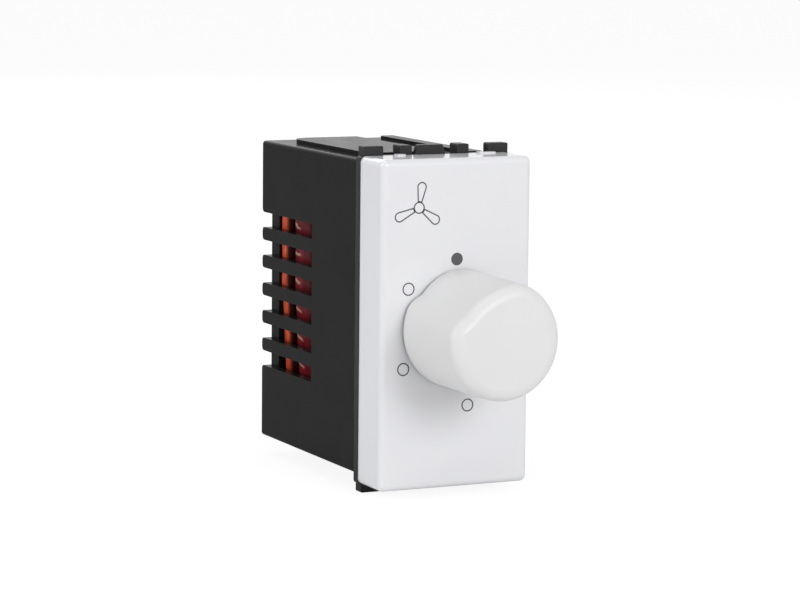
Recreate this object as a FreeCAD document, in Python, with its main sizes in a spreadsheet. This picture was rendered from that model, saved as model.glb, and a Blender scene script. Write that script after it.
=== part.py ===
import FreeCAD, Part
import math
import os
import re
import Sketcher

# Fan speed control switch for one module of a wiring plate.
# X is to the right, Y to the rear and Z up. The origin is the centre of the module
# on the plane where the lugs of the front frame bear on the plate.

# Driving sizes in millimetres and degrees
SIZES = {
    # Front cap, one module large
    "module_width": 22.5,
    "module_height": 45.0,
    "fascia_depth": 6.9,
    "fascia_wall": 1.5,
    "fascia_face": 1.8,
    "fascia_edge": 0.85,
    "seat_step": 0.3,
    "opening_radius": 5.3,
    "opening_collar": 1.2,
    "collar_depth": 2.0,
    "leg_inset": 2.75,
    "leg_drop": 3.8,
    "leg_width": 3.0,
    "leg_thickness": 1.2,
    "leg_reach": 1.6,
    "leg_nose": 0.45,
    "pip_height": 0.2,
    "pip_small": 1.2,
    "pip_large": 2.4,
    "pip_across": 5.7,
    "pip_far": 7.4,
    # Front frame
    "flange_thickness": 1.2,
    "flange_overhang": 0.12,
    "lug_rise": 1.3,
    "lug_shallow": 1.6,
    "lug_deep": 2.35,
    "lug_round": 0.5,
    "outer_lug_inset": 0.29,
    "outer_lug_width": 2.96,
    "outer_lug_shift": 0.25,
    "guide_lug_inset": 6.05,
    "guide_lug_width": 1.75,
    "tongue_width": 4.6,
    "tongue_centre": 0.65,
    "tongue_slant": 0.45,
    "tongue_slot": 0.5,
    "tongue_length": 5.0,
    "spigot_depth": 4.0,
    "spigot_wall": 1.0,
    "catch_width": 7.0,
    "catch_depth": 0.9,
    "catch_rise": 0.4,
    "catch_place": 2.6,
    # Housing
    "housing_inset": 0.13,
    "top_inset": 0.45,
    "bottom_inset": 1.25,
    "housing_depth": 33.0,
    "housing_wall": 1.4,
    "housing_corner": 0.5,
    "vent_count": 6.0,
    "vent_pitch": 4.06,
    "vent_height": 2.2,
    "vent_length": 17.8,
    "vent_highest": 10.6,
    "vent_round": 0.6,
    "land_rise": 0.6,
    "land_inset": 2.5,
    "land_right": 2.0,
    "land_slope": 1.5,
    "land_start": 2.0,
    "land_short": 4.0,
    "land_round": 3.0,
    "rib_inset": 2.4,
    "rib_width": 2.2,
    "rib_rise": 0.45,
    "rib_round": 0.8,
    "rib_short": 2.0,
    "divider": 1.2,
    "ledge_reach": 1.3,
    "ledge_depth": 2.2,
    "ledge_width": 3.6,
    "ledge_up": 15.4,
    "boss_inset": 2.62,
    "boss_radius": 2.25,
    "boss_length": 11.0,
    # Rear cover
    "cover_thickness": 1.4,
    "cover_rim": 2.7,
    "cover_rim_wall": 0.6,
    "cover_screw_radius": 1.05,
    "cover_head_radius": 1.9,
    "cover_head_height": 1.0,
    "cover_screw_length": 6.0,
    "cover_recess": 0.6,
    "access_radius": 2.0,
    "access_ring": 0.9,
    # Rotary switch
    "knob_up": -0.5,
    "switch_cover_thickness": 1.4,
    "switch_depth": 8.0,
    "switch_floor": 1.4,
    "foot_width": 1.8,
    "foot_height": 3.6,
    "crown_rise": 7.0,
    "cup_wall": 0.8,
    "rotor_room": 0.7,
    "rotor_radius": 5.0,
    "rotor_thickness": 2.8,
    "rotor_play": 0.3,
    "ball_radius": 1.2,
    "ball_drop": 0.4,
    "spring_wire": 0.2,
    "spring_pitch": 0.85,
    "bush_radius": 4.3,
    "bush_reach": 4.2,
    "shaft_radius": 3.0,
    "shaft_flat": 0.9,
    "shaft_reach": 18.6,
    "shaft_square": 3.4,
    "journal_radius": 1.6,
    "running_gap": 0.05,
    "clip_thickness": 0.5,
    "clip_width": 1.1,
    "clip_groove": 0.5,
    "wiper_thickness": 0.3,
    "wiper_radius": 3.0,
    "wiper_arm": 1.8,
    "wiper_end": 0.8,
    "dimple": 0.35,
    "contact_inset": 1.0,
    "contact_size": 0.9,
    "contact_gap": 0.05,
    "common_gap": 0.3,
    "common_width": 0.7,
    "tail_radius": 0.5,
    "tail_length": 0.8,
    "rivet_radius": 0.9,
    "rivet_head": 1.6,
    "rivet_head_height": 0.6,
    "rivet_inset": 1.45,
    # Angles of the steps, from twelve o'clock, counter-clockwise as seen from the front
    "step_one_angle": 51.0,
    "step_two_angle": 122.0,
    "step_three_angle": 190.0,
    "step_four_angle": 257.0,
    # Knob
    "knob_radius": 8.1,
    "knob_front_radius": 8.0,
    "knob_gap": 0.5,
    "knob_length": 14.9,
    "knob_wall": 1.9,
    "knob_face": 1.9,
    "knob_edge": 1.6,
    "knob_hub": 4.4,
    "knob_rib": 1.0,
    "knob_rib_length": 9.0,
    # Pointer scoop, which widens and deepens from the rear edge of the knob to its front
    "scoop_start_angle": -20.0,
    "scoop_deep_angle": 51.0,
    "scoop_end_angle": 58.0,
    "scoop_depth": 0.9,
    "scoop_belly_share": 0.4,
    "front_scoop_deep_angle": 60.0,
    "front_scoop_end_angle": 75.0,
    "front_scoop_depth": 1.2,
    "front_scoop_belly_share": 1.1,
    "scoop_valley": 2.0,
    "scoop_brow": 3.0,
    "scoop_blend": 5.0,
    # Board and what it carries
    "board_thickness": 1.6,
    "board_space": 1.7,
    "board_gap": 0.2,
    "pin_gap": 0.1,
    "capacitor_gap": 0.32,
    "capacitor_foot": 2.0,
    "capacitor_head": 0.65,
    "thin_capacitor": 4.0,
    "pillow_flat": 0.12,
    "capacitor_start": 6.1,
    "capacitor_between": 0.8,
    "capacitor_rear_gap": 0.6,
    "lead_radius": 0.4,
    "lead_edge": 3.8,
    "lead_inset": 1.4,
    "lead_drop": 0.8,
    "resistor_radius": 1.1,
    "resistor_lead": 0.32,
    "resistor_length": 6.0,
    "resistor_across": 5.5,
    "resistor_up": 9.5,
    "resistor_span": 4.4,
    # Terminals
    "cage_gap": 0.35,
    "terminal_foot": 0.65,
    "terminal_room": 9.55,
    "tongue_thickness": 0.8,
    "busbar_width": 3.4,
    "busbar_rise": 3.0,
    "terminal_screw_radius": 1.6,
    "terminal_head_radius": 2.4,
    "terminal_head_height": 1.6,
    "screw_slot": 0.6,
    "screw_slot_depth": 0.8,
    "cross_slot": 2.88,
    "cover_slot": 0.4,
    "cover_slot_depth": 0.5,
    "cover_slot_length": 2.28,
    "cage_width": 6.4,
    "cage_height": 4.4,
    "cage_wall": 0.9,
    "wire_space": 4.4,
    "wire_width": 4.8,
    # Clearance between pieces that fit into each other
    "fit_gap": 0.1,
}

doc = FreeCAD.newDocument("FanSpeedSwitch")
sheet = doc.addObject("Spreadsheet::Sheet", "size")
for row, (alias, number) in enumerate(SIZES.items(), 1):
    sheet.set(f"A{row}", alias)
    sheet.set(f"B{row}", str(number))
    sheet.setAlias(f"B{row}", alias)
doc.recompute()

FRONT = "XZ_Plane"
TOP = "XY_Plane"
SIDE = "YZ_Plane"
STEPS = ("step_one_angle", "step_two_angle", "step_three_angle", "step_four_angle")

# Places along Y, from the front of the knob to the rear
FASCIA_BACK = "(-seat_step)"
FASCIA_FRONT = "(-seat_step - fascia_depth)"
FASCIA_INSIDE = "(-seat_step - fascia_depth + fascia_face)"
FRAME_BACK = "(flange_thickness - seat_step)"
HOUSING_REAR = f"({FRAME_BACK} + housing_depth)"
CUP_FRONT = f"({FRAME_BACK} + switch_cover_thickness)"
CUP_FLOOR = f"({CUP_FRONT} + switch_depth - switch_floor)"
CUP_REAR = f"({CUP_FRONT} + switch_depth)"
ROTOR_FRONT = f"({CUP_FRONT} + rotor_play)"
ROTOR_REAR = f"({ROTOR_FRONT} + rotor_thickness)"
WIPER_REAR = f"({ROTOR_REAR} + running_gap + wiper_thickness)"
CONTACT_FRONT = f"({WIPER_REAR} + dimple + contact_gap)"
BOARD_FRONT = f"({CUP_REAR} + board_space)"
BOARD_REAR = f"({BOARD_FRONT} + board_thickness)"
COVER_FRONT = f"({HOUSING_REAR} - cover_thickness)"
BUSH_FRONT = f"({FASCIA_BACK} - bush_reach)"
KNOB_REAR = f"({FASCIA_FRONT} - knob_gap)"
KNOB_FRONT = f"({KNOB_REAR} - knob_length)"
THICK_FRONT = f"({BOARD_REAR} + capacitor_start)"
THIN_REAR = f"({COVER_FRONT} - capacitor_rear_gap)"
THIN_FRONT = f"({THIN_REAR} - thin_capacitor)"
THICK_REAR = f"({THIN_FRONT} - capacitor_between)"
SCREW_HEAD = f"({COVER_FRONT} - fit_gap - terminal_head_height)"
TONGUE_FRONT = f"({BOARD_REAR} + terminal_room)"
TONGUE_REAR = f"({TONGUE_FRONT} + tongue_thickness)"
CAGE_FRONT = f"({TONGUE_FRONT} - wire_space - cage_wall)"
CAGE_REAR = f"({CAGE_FRONT} + cage_wall * 2 + wire_space + tongue_thickness + fit_gap * 2)"

# Places across and up
HOUSING_HALF = "(module_width / 2 - housing_inset)"
HOUSING_TOP = "(module_height / 2 - top_inset)"
HOUSING_BOTTOM = "(module_height / 2 - bottom_inset)"
INSIDE = f"({HOUSING_HALF} - housing_wall)"
INSIDE_TOP = f"({HOUSING_TOP} - housing_wall)"
INSIDE_BOTTOM = f"(-{HOUSING_BOTTOM} + housing_wall)"
BOSS_ACROSS = f"({INSIDE} - boss_inset)"
BOSS_UP = f"({INSIDE_TOP} - boss_radius + fit_gap)"
TERMINAL_ACROSS = f"({INSIDE} - cage_width / 2 - cage_gap)"
TERMINAL_UP = f"({INSIDE_BOTTOM} + terminal_foot + cage_height / 2)"
BUSBAR_UP = f"({TERMINAL_UP} + busbar_rise)"
CAPACITOR_HALF = f"({INSIDE} - capacitor_gap)"
CAPACITOR_LOW = f"({BUSBAR_UP} + capacitor_foot)"
CAPACITOR_HIGH = f"({BOSS_UP} - boss_radius - capacitor_head)"
LEAD_ACROSS = f"({CAPACITOR_HALF} - lead_edge)"
LEAD_UP = f"({CAPACITOR_LOW} - lead_drop)"
LEG_ACROSS = "(module_width / 2 - fascia_wall - leg_inset)"
LEG_UP = "(module_height / 2 - fascia_wall - leg_drop)"
CUP_RADIUS = "(rotor_radius + rotor_room)"
SWITCH_HALF = f"({CUP_RADIUS} + cup_wall)"
RIVET_PLACE = f"({SWITCH_HALF} - rivet_inset)"
CONTACT_RADIUS = "(rotor_radius - contact_inset)"
COMMON_OUTER = f"({CONTACT_RADIUS} - contact_size - common_gap)"
COMMON_INNER = f"({COMMON_OUTER} - common_width)"
CROWN_UP = "(knob_up + rotor_radius + crown_rise)"
BALL_UP = "(knob_up + rotor_radius + ball_radius + running_gap)"


def bound(text):
    """A size or sum of sizes, with each name made a cell of the sheet."""
    return re.sub(r"[a-z_]{3,}", lambda word: ("size." if word.group() in SIZES else "") + word.group(), text)


def value(text):
    """The number that a sum of sizes comes to."""
    return float(doc.getObject("probe").evalExpression(bound(text)))


probe = doc.addObject("App::FeaturePython", "probe")


def body(label):
    made = doc.addObject("PartDesign::Body", label)
    made.Label = label
    made.AllowCompound = True
    return made


def sketch(owner, plane, offset):
    """An empty sketch on one of the body's own planes, moved along the plane's normal."""
    drawn = owner.newObject("Sketcher::SketchObject", "outline")
    plane_feature = [feature for feature in owner.Origin.OriginFeatures if feature.Role == plane][0]
    drawn.AttachmentSupport = [(plane_feature, "")]
    drawn.MapMode = "FlatFace"
    drawn.setExpression(".AttachmentOffset.Base.z", bound(offset))
    return drawn


def pin_point(drawn, line, end, across, up):
    """Ties one end of a line, or a circle's centre, to its place from the sketch's origin."""
    for kind, axis, place in (("DistanceX", -2, across), ("DistanceY", -1, up)):
        if place == "0":
            drawn.addConstraint(Sketcher.Constraint("PointOnObject", line, end, axis))
        else:
            number = drawn.addConstraint(Sketcher.Constraint(kind, -1, 1, line, end, value(place)))
            drawn.setExpression(f"Constraints[{number}]", bound(place))


def outline(corners):
    """A closed outline through corners, each an (across, up) pair of sizes."""

    def draw(drawn):
        points = [FreeCAD.Vector(value(across), value(up), 0) for across, up in corners]
        first = len(drawn.Geometry)
        for point, following in zip(points, points[1:] + points[:1]):
            drawn.addGeometry(Part.LineSegment(point, following), False)
        for place, (across, up) in enumerate(corners):
            after = first + (place + 1) % len(corners)
            drawn.addConstraint(Sketcher.Constraint("Coincident", first + place, 2, after, 1))
            pin_point(drawn, first + place, 1, across, up)

    return draw


def box(left, right, low, high):
    return outline([(left, low), (right, low), (right, high), (left, high)])


def box_at(across, up, width, height):
    """A box outline about its centre."""
    return box(
        f"({across}) - ({width}) / 2",
        f"({across}) + ({width}) / 2",
        f"({up}) - ({height}) / 2",
        f"({up}) + ({height}) / 2",
    )


def circle(across, up, radius):
    def draw(drawn):
        centre = FreeCAD.Vector(value(across), value(up), 0)
        ring = drawn.addGeometry(Part.Circle(centre, FreeCAD.Vector(0, 0, 1), value(radius)), False)
        pin_point(drawn, ring, 3, across, up)
        number = drawn.addConstraint(Sketcher.Constraint("Radius", ring, value(radius)))
        drawn.setExpression(f"Constraints[{number}]", bound(radius))

    return draw


def extrude(owner, kind, plane, low, high, shapes):
    """Extrudes outlines from low to high along the axis that the plane faces."""
    sign = "-1" if plane == FRONT else "1"
    starts_low = (plane != FRONT) == (kind == "PartDesign::Pad")
    drawn = sketch(owner, plane, f"{sign} * ({low if starts_low else high})")
    for draw in shapes:
        draw(drawn)
    made = owner.newObject(kind, "pad" if kind.endswith("Pad") else "pocket")
    made.Profile = drawn
    made.setExpression("Length", bound(f"({high}) - ({low})"))
    doc.recompute()
    return made


def add(owner, plane, low, high, *shapes):
    return extrude(owner, "PartDesign::Pad", plane, low, high, shapes)


def cut(owner, plane, low, high, *shapes):
    before = owner.Shape.Volume
    made = extrude(owner, "PartDesign::Pocket", plane, low, high, shapes)
    if owner.Shape.Volume > before - 1e-6:
        raise RuntimeError(f"{owner.Label}: {made.Name} cuts nothing")
    return made


def soften(owner, size, choose, kind="PartDesign::Fillet", setting="Radius"):
    """Rounds or bevels the edges that choose picks."""
    base = owner.Tip
    names = [f"Edge{number}" for number, edge in enumerate(base.Shape.Edges, 1) if choose(edge)]
    if not names:
        raise RuntimeError(f"{owner.Label}: no edge to round")
    made = owner.newObject(kind, "softened")
    made.Base = (base, names)
    made.setExpression(setting, bound(size))
    doc.recompute()
    return made


def pattern(owner, features, axis, length, copies):
    made = owner.newObject("PartDesign::LinearPattern", "row")
    made.Originals = features
    made.Direction = ([feature for feature in owner.Origin.OriginFeatures if feature.Role == axis][0], [""])
    made.setExpression("Length", bound(length))
    made.setExpression("Occurrences", bound(copies))
    owner.Tip = made
    doc.recompute()
    return made


def at_corners(draw, across, up, *rest):
    """The same outline at four places, mirrored left to right and top to bottom."""
    return [
        draw(f"{side} * ({across})", f"{height} * ({up})", *rest)
        for side in ("-1", "1")
        for height in ("-1", "1")
    ]


def rivet_places():
    """The four corners of the rotary switch, about the shaft's axis."""
    return [
        (f"{side} * {RIVET_PLACE}", f"knob_up + {height} * {RIVET_PLACE}")
        for side in ("-1", "1")
        for height in ("-1", "1")
    ]


def runs_along(edge, axis):
    """Whether an edge is straight and parallel to an axis, 0 for X, 1 for Y and 2 for Z."""
    if edge.Curve.TypeId != "Part::GeomLine":
        return False
    return abs(edge.tangentAt(edge.FirstParameter)[axis]) > 0.999


def lies_at(edge, axis, place):
    """Whether all of an edge lies on a plane across an axis."""
    bounds = edge.BoundBox
    low = (bounds.XMin, bounds.YMin, bounds.ZMin)[axis]
    high = (bounds.XMax, bounds.YMax, bounds.ZMax)[axis]
    return abs(low - place) < 1e-4 and abs(high - place) < 1e-4


def wire(owner, plane, offset, start_plane, start, points, radius):
    """A round wire of one radius along a bent line drawn in a plane."""
    spine = sketch(owner, plane, offset)
    places = [FreeCAD.Vector(value(across), value(up), 0) for across, up in points]
    for number, (begin, end) in enumerate(zip(places, places[1:])):
        spine.addGeometry(Part.LineSegment(begin, end), False)
        if number:
            spine.addConstraint(Sketcher.Constraint("Coincident", number - 1, 2, number, 1))
        pin_point(spine, number, 1, *points[number])
    pin_point(spine, len(places) - 2, 2, *points[-1])
    section = sketch(owner, start_plane, start[2])
    circle(start[0], start[1], radius)(section)
    doc.recompute()
    made = owner.newObject("PartDesign::AdditivePipe", "bent_wire")
    made.Profile = section
    made.Spine = (spine, [f"Edge{number + 1}" for number in range(len(places) - 1)])
    made.Transition = "Round corner"
    doc.recompute()
    return made


def make_fascia():
    """Gloss cap: rounded front edges, hollow back, collar round the knob's opening, four legs."""
    part = body("fascia")
    half, tall = "module_width / 2", "module_height / 2"
    add(part, FRONT, FASCIA_FRONT, FASCIA_BACK, box(f"-{half}", half, f"-{tall}", tall))
    front = value(FASCIA_FRONT)
    soften(part, "fascia_edge", lambda edge: lies_at(edge, 1, front) or runs_along(edge, 1))
    cut(
        part, FRONT, FASCIA_INSIDE, FASCIA_BACK,
        box(
            f"-{half} + fascia_wall", f"{half} - fascia_wall",
            f"-{tall} + fascia_wall", f"{tall} - fascia_wall",
        ),
    )
    add(
        part, FRONT, FASCIA_INSIDE, f"{FASCIA_INSIDE} + collar_depth",
        circle("0", "knob_up", "opening_radius + opening_collar"),
    )
    cut(
        part, FRONT, FASCIA_FRONT, f"{FASCIA_INSIDE} + collar_depth",
        circle("0", "knob_up", "opening_radius"),
    )
    leg_end = f"({FRAME_BACK} + leg_reach)"
    add(
        part, FRONT, FASCIA_INSIDE, leg_end,
        *at_corners(box_at, LEG_ACROSS, LEG_UP, "leg_width", "leg_thickness"),
    )
    nose = f"{LEG_UP} + leg_thickness / 2 + leg_nose / 2"
    add(
        part, FRONT, f"{FRAME_BACK} + fit_gap", leg_end,
        *at_corners(box_at, LEG_ACROSS, nose, "leg_width", "leg_nose"),
    )
    # Two small pips on the cap's top edge
    add(
        part, FRONT, f"{FASCIA_BACK} - pip_small", FASCIA_BACK,
        *[
            box(
                f"{across} - {width} / 2", f"{across} + {width} / 2",
                f"{tall} - fascia_edge", f"{tall} + pip_height",
            )
            for across, width in (("-pip_across", "pip_small"), ("pip_far", "pip_large"))
        ],
    )


def make_front_frame():
    """Flange with lugs and a latch tongue at each end, a spigot into the housing and its catches."""
    part = body("front_frame")
    half, tall = "(module_width / 2)", "(module_height / 2)"
    wide = f"({half} + flange_overhang)"
    add(part, FRONT, FASCIA_BACK, FRAME_BACK, box(f"-{wide}", wide, f"-{tall}", tall))
    soften(part, "lug_round", lambda edge: runs_along(edge, 1))
    # Lugs bear on the plate at the seat plane and reach back over the housing
    outer, guide = f"({half} - outer_lug_inset)", f"({half} - guide_lug_inset)"
    places = {
        "lug_shallow": (
            (f"outer_lug_shift - {outer}", f"outer_lug_shift - {outer} + outer_lug_width"),
            (f"outer_lug_shift + {outer} - outer_lug_width", f"outer_lug_shift + {outer}"),
        ),
        "lug_deep": ((f"-{guide}", f"-{guide} + guide_lug_width"), (f"{guide} - guide_lug_width", guide)),
    }
    over_top, under_bottom = f"({HOUSING_TOP} + fit_gap)", f"(-{HOUSING_BOTTOM} - fit_gap)"
    tip = f"({tall} + lug_rise)"
    roots = []
    for depth, sides in places.items():
        roots += [box(left, right, f"{tall} - lug_round", tip) for left, right in sides]
        roots += [box(left, right, f"-{tip}", f"lug_round - {tall}") for left, right in sides]
        add(
            part, FRONT, FRAME_BACK, depth,
            *[box(left, right, over_top, tip) for left, right in sides],
            *[box(left, right, f"-{tip}", under_bottom) for left, right in sides],
        )
    root_left = "(-tongue_width / 2 - tongue_centre)"
    root_right = "(tongue_width / 2 - tongue_centre)"
    for sign in ("1", "-1"):
        roots.append(outline([
            (root_left, f"{sign} * {tall}"), (root_right, f"{sign} * {tall}"),
            (f"{root_right} - tongue_slant", f"{sign} * {tip}"),
            (f"{root_left} + tongue_slant", f"{sign} * {tip}"),
        ]))
    add(part, FRONT, "0", FRAME_BACK, *roots)
    # Slots beside each tongue let it spring
    cut(
        part, FRONT, FASCIA_BACK, FRAME_BACK,
        *[
            box_at(across, f"{sign} * ({tall} - tongue_length / 2)", "tongue_slot", "tongue_length")
            for sign in ("1", "-1")
            for across in (f"{root_left} - tongue_slot / 2", f"{root_right} + tongue_slot / 2")
        ],
    )
    top_edge, low_edge = value(f"{tall} + lug_rise"), value(f"-{tall} - lug_rise")
    soften(
        part, "lug_round / 2",
        lambda edge: runs_along(edge, 1) and (lies_at(edge, 2, top_edge) or lies_at(edge, 2, low_edge)),
    )
    # Spigot that the housing slips over, open where the switch and the tongues pass
    outer = f"({INSIDE} - fit_gap)"
    high, low = f"({INSIDE_TOP} - fit_gap)", f"({INSIDE_BOTTOM} + fit_gap)"
    spigot_end = f"({FRAME_BACK} + spigot_depth)"
    add(
        part, FRONT, FRAME_BACK, spigot_end,
        box(f"-{outer}", outer, low, high),
        box(
            f"-{outer} + spigot_wall", f"{outer} - spigot_wall",
            f"{low} + spigot_wall", f"{high} - spigot_wall",
        ),
    )
    for near, far in ((high, f"{high} + catch_rise"), (f"{low} - catch_rise", low)):
        add(
            part, TOP, near, far,
            box(
                "-catch_width / 2", "catch_width / 2",
                f"{FRAME_BACK} + catch_place", f"{FRAME_BACK} + catch_place + catch_depth",
            ),
        )
    # Opening for the switch's bush, windows for the cap's legs, holes for the rivets
    cut(
        part, FRONT, FASCIA_BACK, FRAME_BACK,
        circle("0", "knob_up", "bush_radius + fit_gap"),
        *[circle(across, up, "rivet_radius + fit_gap") for across, up in rivet_places()],
        *at_corners(
            box_at, LEG_ACROSS, f"{LEG_UP} + leg_nose / 2",
            "leg_width + fit_gap * 2", "leg_thickness + leg_nose + fit_gap * 2",
        ),
    )


def outer_upright(across, along, wall):
    """The upright edge at a place that stands outside a wall above or below the module."""
    left, rear, outside = value(across), value(along), value(wall)

    def choose(edge):
        if not (runs_along(edge, 2) and lies_at(edge, 0, left) and lies_at(edge, 1, rear)):
            return False
        return abs(edge.BoundBox.Center.z) > outside

    return choose


def make_housing():
    """Moulded box with comb-like vents, raised lands, board ledges, screw bosses and wire entries."""
    part = body("housing_shell")
    half = HOUSING_HALF
    add(part, FRONT, FRAME_BACK, HOUSING_REAR, box(f"-{half}", half, f"-{HOUSING_BOTTOM}", HOUSING_TOP))
    soften(part, "housing_corner", lambda edge: runs_along(edge, 1))
    cut(part, FRONT, FRAME_BACK, HOUSING_REAR, box(f"-{INSIDE}", INSIDE, INSIDE_BOTTOM, INSIDE_TOP))
    # Raised land and rib along the top and, mirrored, along the bottom
    land_end = f"({HOUSING_REAR} - land_short)"
    left_edge, rib_edge = f"-{half} + land_inset", f"{half} - rib_inset"
    for sign, wall in (("1", HOUSING_TOP), ("-1", HOUSING_BOTTOM)):
        foot, crest = f"{sign} * ({wall} - land_rise)", f"{sign} * ({wall} + land_rise)"
        edge_height = f"{sign} * {wall}"
        add(
            part, FRONT, f"{FRAME_BACK} + land_start", land_end,
            outline([
                (left_edge, foot), ("land_right + land_slope", foot),
                ("land_right + land_slope", edge_height), ("land_right", crest), (left_edge, crest),
            ]),
        )
        soften(part, "land_round", outer_upright(left_edge, land_end, wall))
        rib_left, rib_end = f"{rib_edge} - rib_width", f"({HOUSING_REAR} - rib_short)"
        rib_crest = f"{sign} * ({wall} + rib_rise)"
        add(
            part, FRONT, f"{FRAME_BACK} + land_start", rib_end,
            outline([(rib_left, foot), (rib_edge, foot), (rib_edge, rib_crest), (rib_left, rib_crest)]),
        )
        soften(part, "rib_round", outer_upright(rib_left, rib_end, wall))
    # Six slots a side, open to the rear, so that each wall ends in teeth
    vents = [
        cut(
            part, SIDE, low, high,
            box(
                f"{HOUSING_REAR} - vent_length", f"{HOUSING_REAR} + fit_gap",
                "vent_highest - vent_height / 2", "vent_highest + vent_height / 2",
            ),
        )
        for low, high in (
            (f"-{half} - fit_gap", f"-{INSIDE} + fit_gap"), (f"{INSIDE} - fit_gap", f"{half} + fit_gap"),
        )
    ]
    row = pattern(part, vents, "Z_Axis", "vent_pitch * (vent_count - 1)", "vent_count")
    row.Reversed = True
    doc.recompute()
    rear = value(HOUSING_REAR)
    vent_top = value("vent_highest + vent_height / 2")
    vent_bottom = value("vent_highest - vent_pitch * (vent_count - 1) - vent_height / 2")
    soften(
        part, "vent_round",
        lambda edge: runs_along(edge, 0) and lies_at(edge, 1, rear)
        and vent_bottom - 0.01 < edge.BoundBox.Center.z < vent_top + 0.01,
    )
    # Ledges behind the board, stops and screw bosses in front of the cover, divider between the terminals
    cover_seat = f"({COVER_FRONT} - fit_gap)"
    ledge = f"({INSIDE} - ledge_reach / 2 + fit_gap)"
    board_rest = f"({BOARD_REAR} + board_gap)"
    add(
        part, FRONT, board_rest, f"{board_rest} + ledge_depth",
        *at_corners(box_at, ledge, "ledge_up", "ledge_reach", "ledge_width"),
    )
    sides = ("-1", "1")
    add(
        part, FRONT, f"{cover_seat} - ledge_depth", cover_seat,
        *[
            box_at(
                f"{side} * {ledge}", f"{INSIDE_BOTTOM} + ledge_reach / 2 - fit_gap",
                "ledge_reach", "ledge_reach",
            )
            for side in sides
        ],
    )
    add(
        part, FRONT, f"{cover_seat} - boss_length", cover_seat,
        *[circle(f"{side} * {BOSS_ACROSS}", BOSS_UP, "boss_radius") for side in sides],
    )
    cut(
        part, FRONT, f"{COVER_FRONT} - cover_screw_length", cover_seat,
        *[circle(f"{side} * {BOSS_ACROSS}", BOSS_UP, "cover_screw_radius + running_gap") for side in sides],
    )
    add(
        part, FRONT, f"{BOARD_REAR} + ledge_depth", cover_seat,
        box(
            "-divider / 2", "divider / 2",
            f"{INSIDE_BOTTOM} - fit_gap", f"{TERMINAL_UP} + cage_height / 2 + fit_gap",
        ),
    )
    # Blind recesses that the frame's catches spring into
    deep = "(catch_rise + fit_gap)"
    for near, far in (
        (f"{INSIDE_TOP} - fit_gap", f"{INSIDE_TOP} + {deep}"),
        (f"{INSIDE_BOTTOM} - {deep}", f"{INSIDE_BOTTOM} + fit_gap"),
    ):
        cut(
            part, TOP, near, far,
            box(
                "-catch_width / 2 - fit_gap", "catch_width / 2 + fit_gap",
                f"{FRAME_BACK} + catch_place - fit_gap",
                f"{FRAME_BACK} + catch_place + catch_depth + fit_gap",
            ),
        )
    # Wire entries through the bottom wall, in line with the open cages
    cut(
        part, TOP, f"-{HOUSING_BOTTOM} - land_rise - fit_gap", f"{INSIDE_BOTTOM} + fit_gap",
        *[
            box(
                f"{side} * {TERMINAL_ACROSS} - wire_width / 2",
                f"{side} * {TERMINAL_ACROSS} + wire_width / 2",
                f"{TONGUE_FRONT} - wire_space", TONGUE_FRONT,
            )
            for side in sides
        ],
    )


def make_rear_cover():
    """Cover let into the rear, with side rims behind the vents and wells over the terminal screws."""
    part = body("rear_cover")
    outer = f"({INSIDE} - fit_gap)"
    high, low = f"({INSIDE_TOP} - fit_gap)", f"({INSIDE_BOTTOM} + fit_gap)"
    add(part, FRONT, COVER_FRONT, HOUSING_REAR, box(f"-{outer}", outer, low, high))
    soften(part, "housing_corner", lambda edge: runs_along(edge, 1))
    sides = ("-1", "1")
    add(
        part, FRONT, f"{HOUSING_REAR} - cover_rim", COVER_FRONT,
        *[
            box(left, f"{left} + cover_rim_wall", CAPACITOR_LOW, CAPACITOR_HIGH)
            for left in (f"-{outer}", f"{outer} - cover_rim_wall")
        ],
    )
    cut(
        part, FRONT, COVER_FRONT, HOUSING_REAR,
        *[circle(f"{side} * {BOSS_ACROSS}", BOSS_UP, "cover_screw_radius + fit_gap") for side in sides],
        *[circle(f"{side} * {TERMINAL_ACROSS}", TERMINAL_UP, "access_radius") for side in sides],
    )
    cut(
        part, FRONT, f"{HOUSING_REAR} - cover_recess", HOUSING_REAR,
        *[circle(f"{side} * {BOSS_ACROSS}", BOSS_UP, "cover_head_radius + fit_gap") for side in sides],
        *[
            circle(f"{side} * {TERMINAL_ACROSS}", TERMINAL_UP, "access_radius + access_ring")
            for side in sides
        ],
    )


def make_switch_cover():
    """Front plate of the rotary switch, with the long bush that carries the shaft."""
    part = body("switch_cover")
    half = SWITCH_HALF
    add(part, FRONT, FRAME_BACK, CUP_FRONT, box(f"-{half}", half, f"knob_up - {half}", CROWN_UP))
    add(part, FRONT, BUSH_FRONT, FRAME_BACK, circle("0", "knob_up", "bush_radius"))
    cut(part, FRONT, BUSH_FRONT, CUP_FRONT, circle("0", "knob_up", "shaft_radius + running_gap"))
    cut(
        part, FRONT, FRAME_BACK, CUP_FRONT,
        *[circle(across, up, "rivet_radius + running_gap") for across, up in rivet_places()],
    )


def contact_places():
    """Where the four step contacts lie: under the wiper's arm when the knob is at each step."""
    places = []
    for step in STEPS:
        angle = f"(180 + {step} - step_one_angle)"
        places.append((f"-{CONTACT_RADIUS} * sin({angle})", f"knob_up + {CONTACT_RADIUS} * cos({angle})"))
    return places


def tail_places():
    """Tails of the step contacts, and that of the common ring where the arm stands when off."""
    middle = f"(({COMMON_INNER} + {COMMON_OUTER}) / 2)"
    common = (f"-{middle} * sin(180 - step_one_angle)", f"knob_up + {middle} * cos(180 - step_one_angle)")
    return contact_places() + [common]


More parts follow.
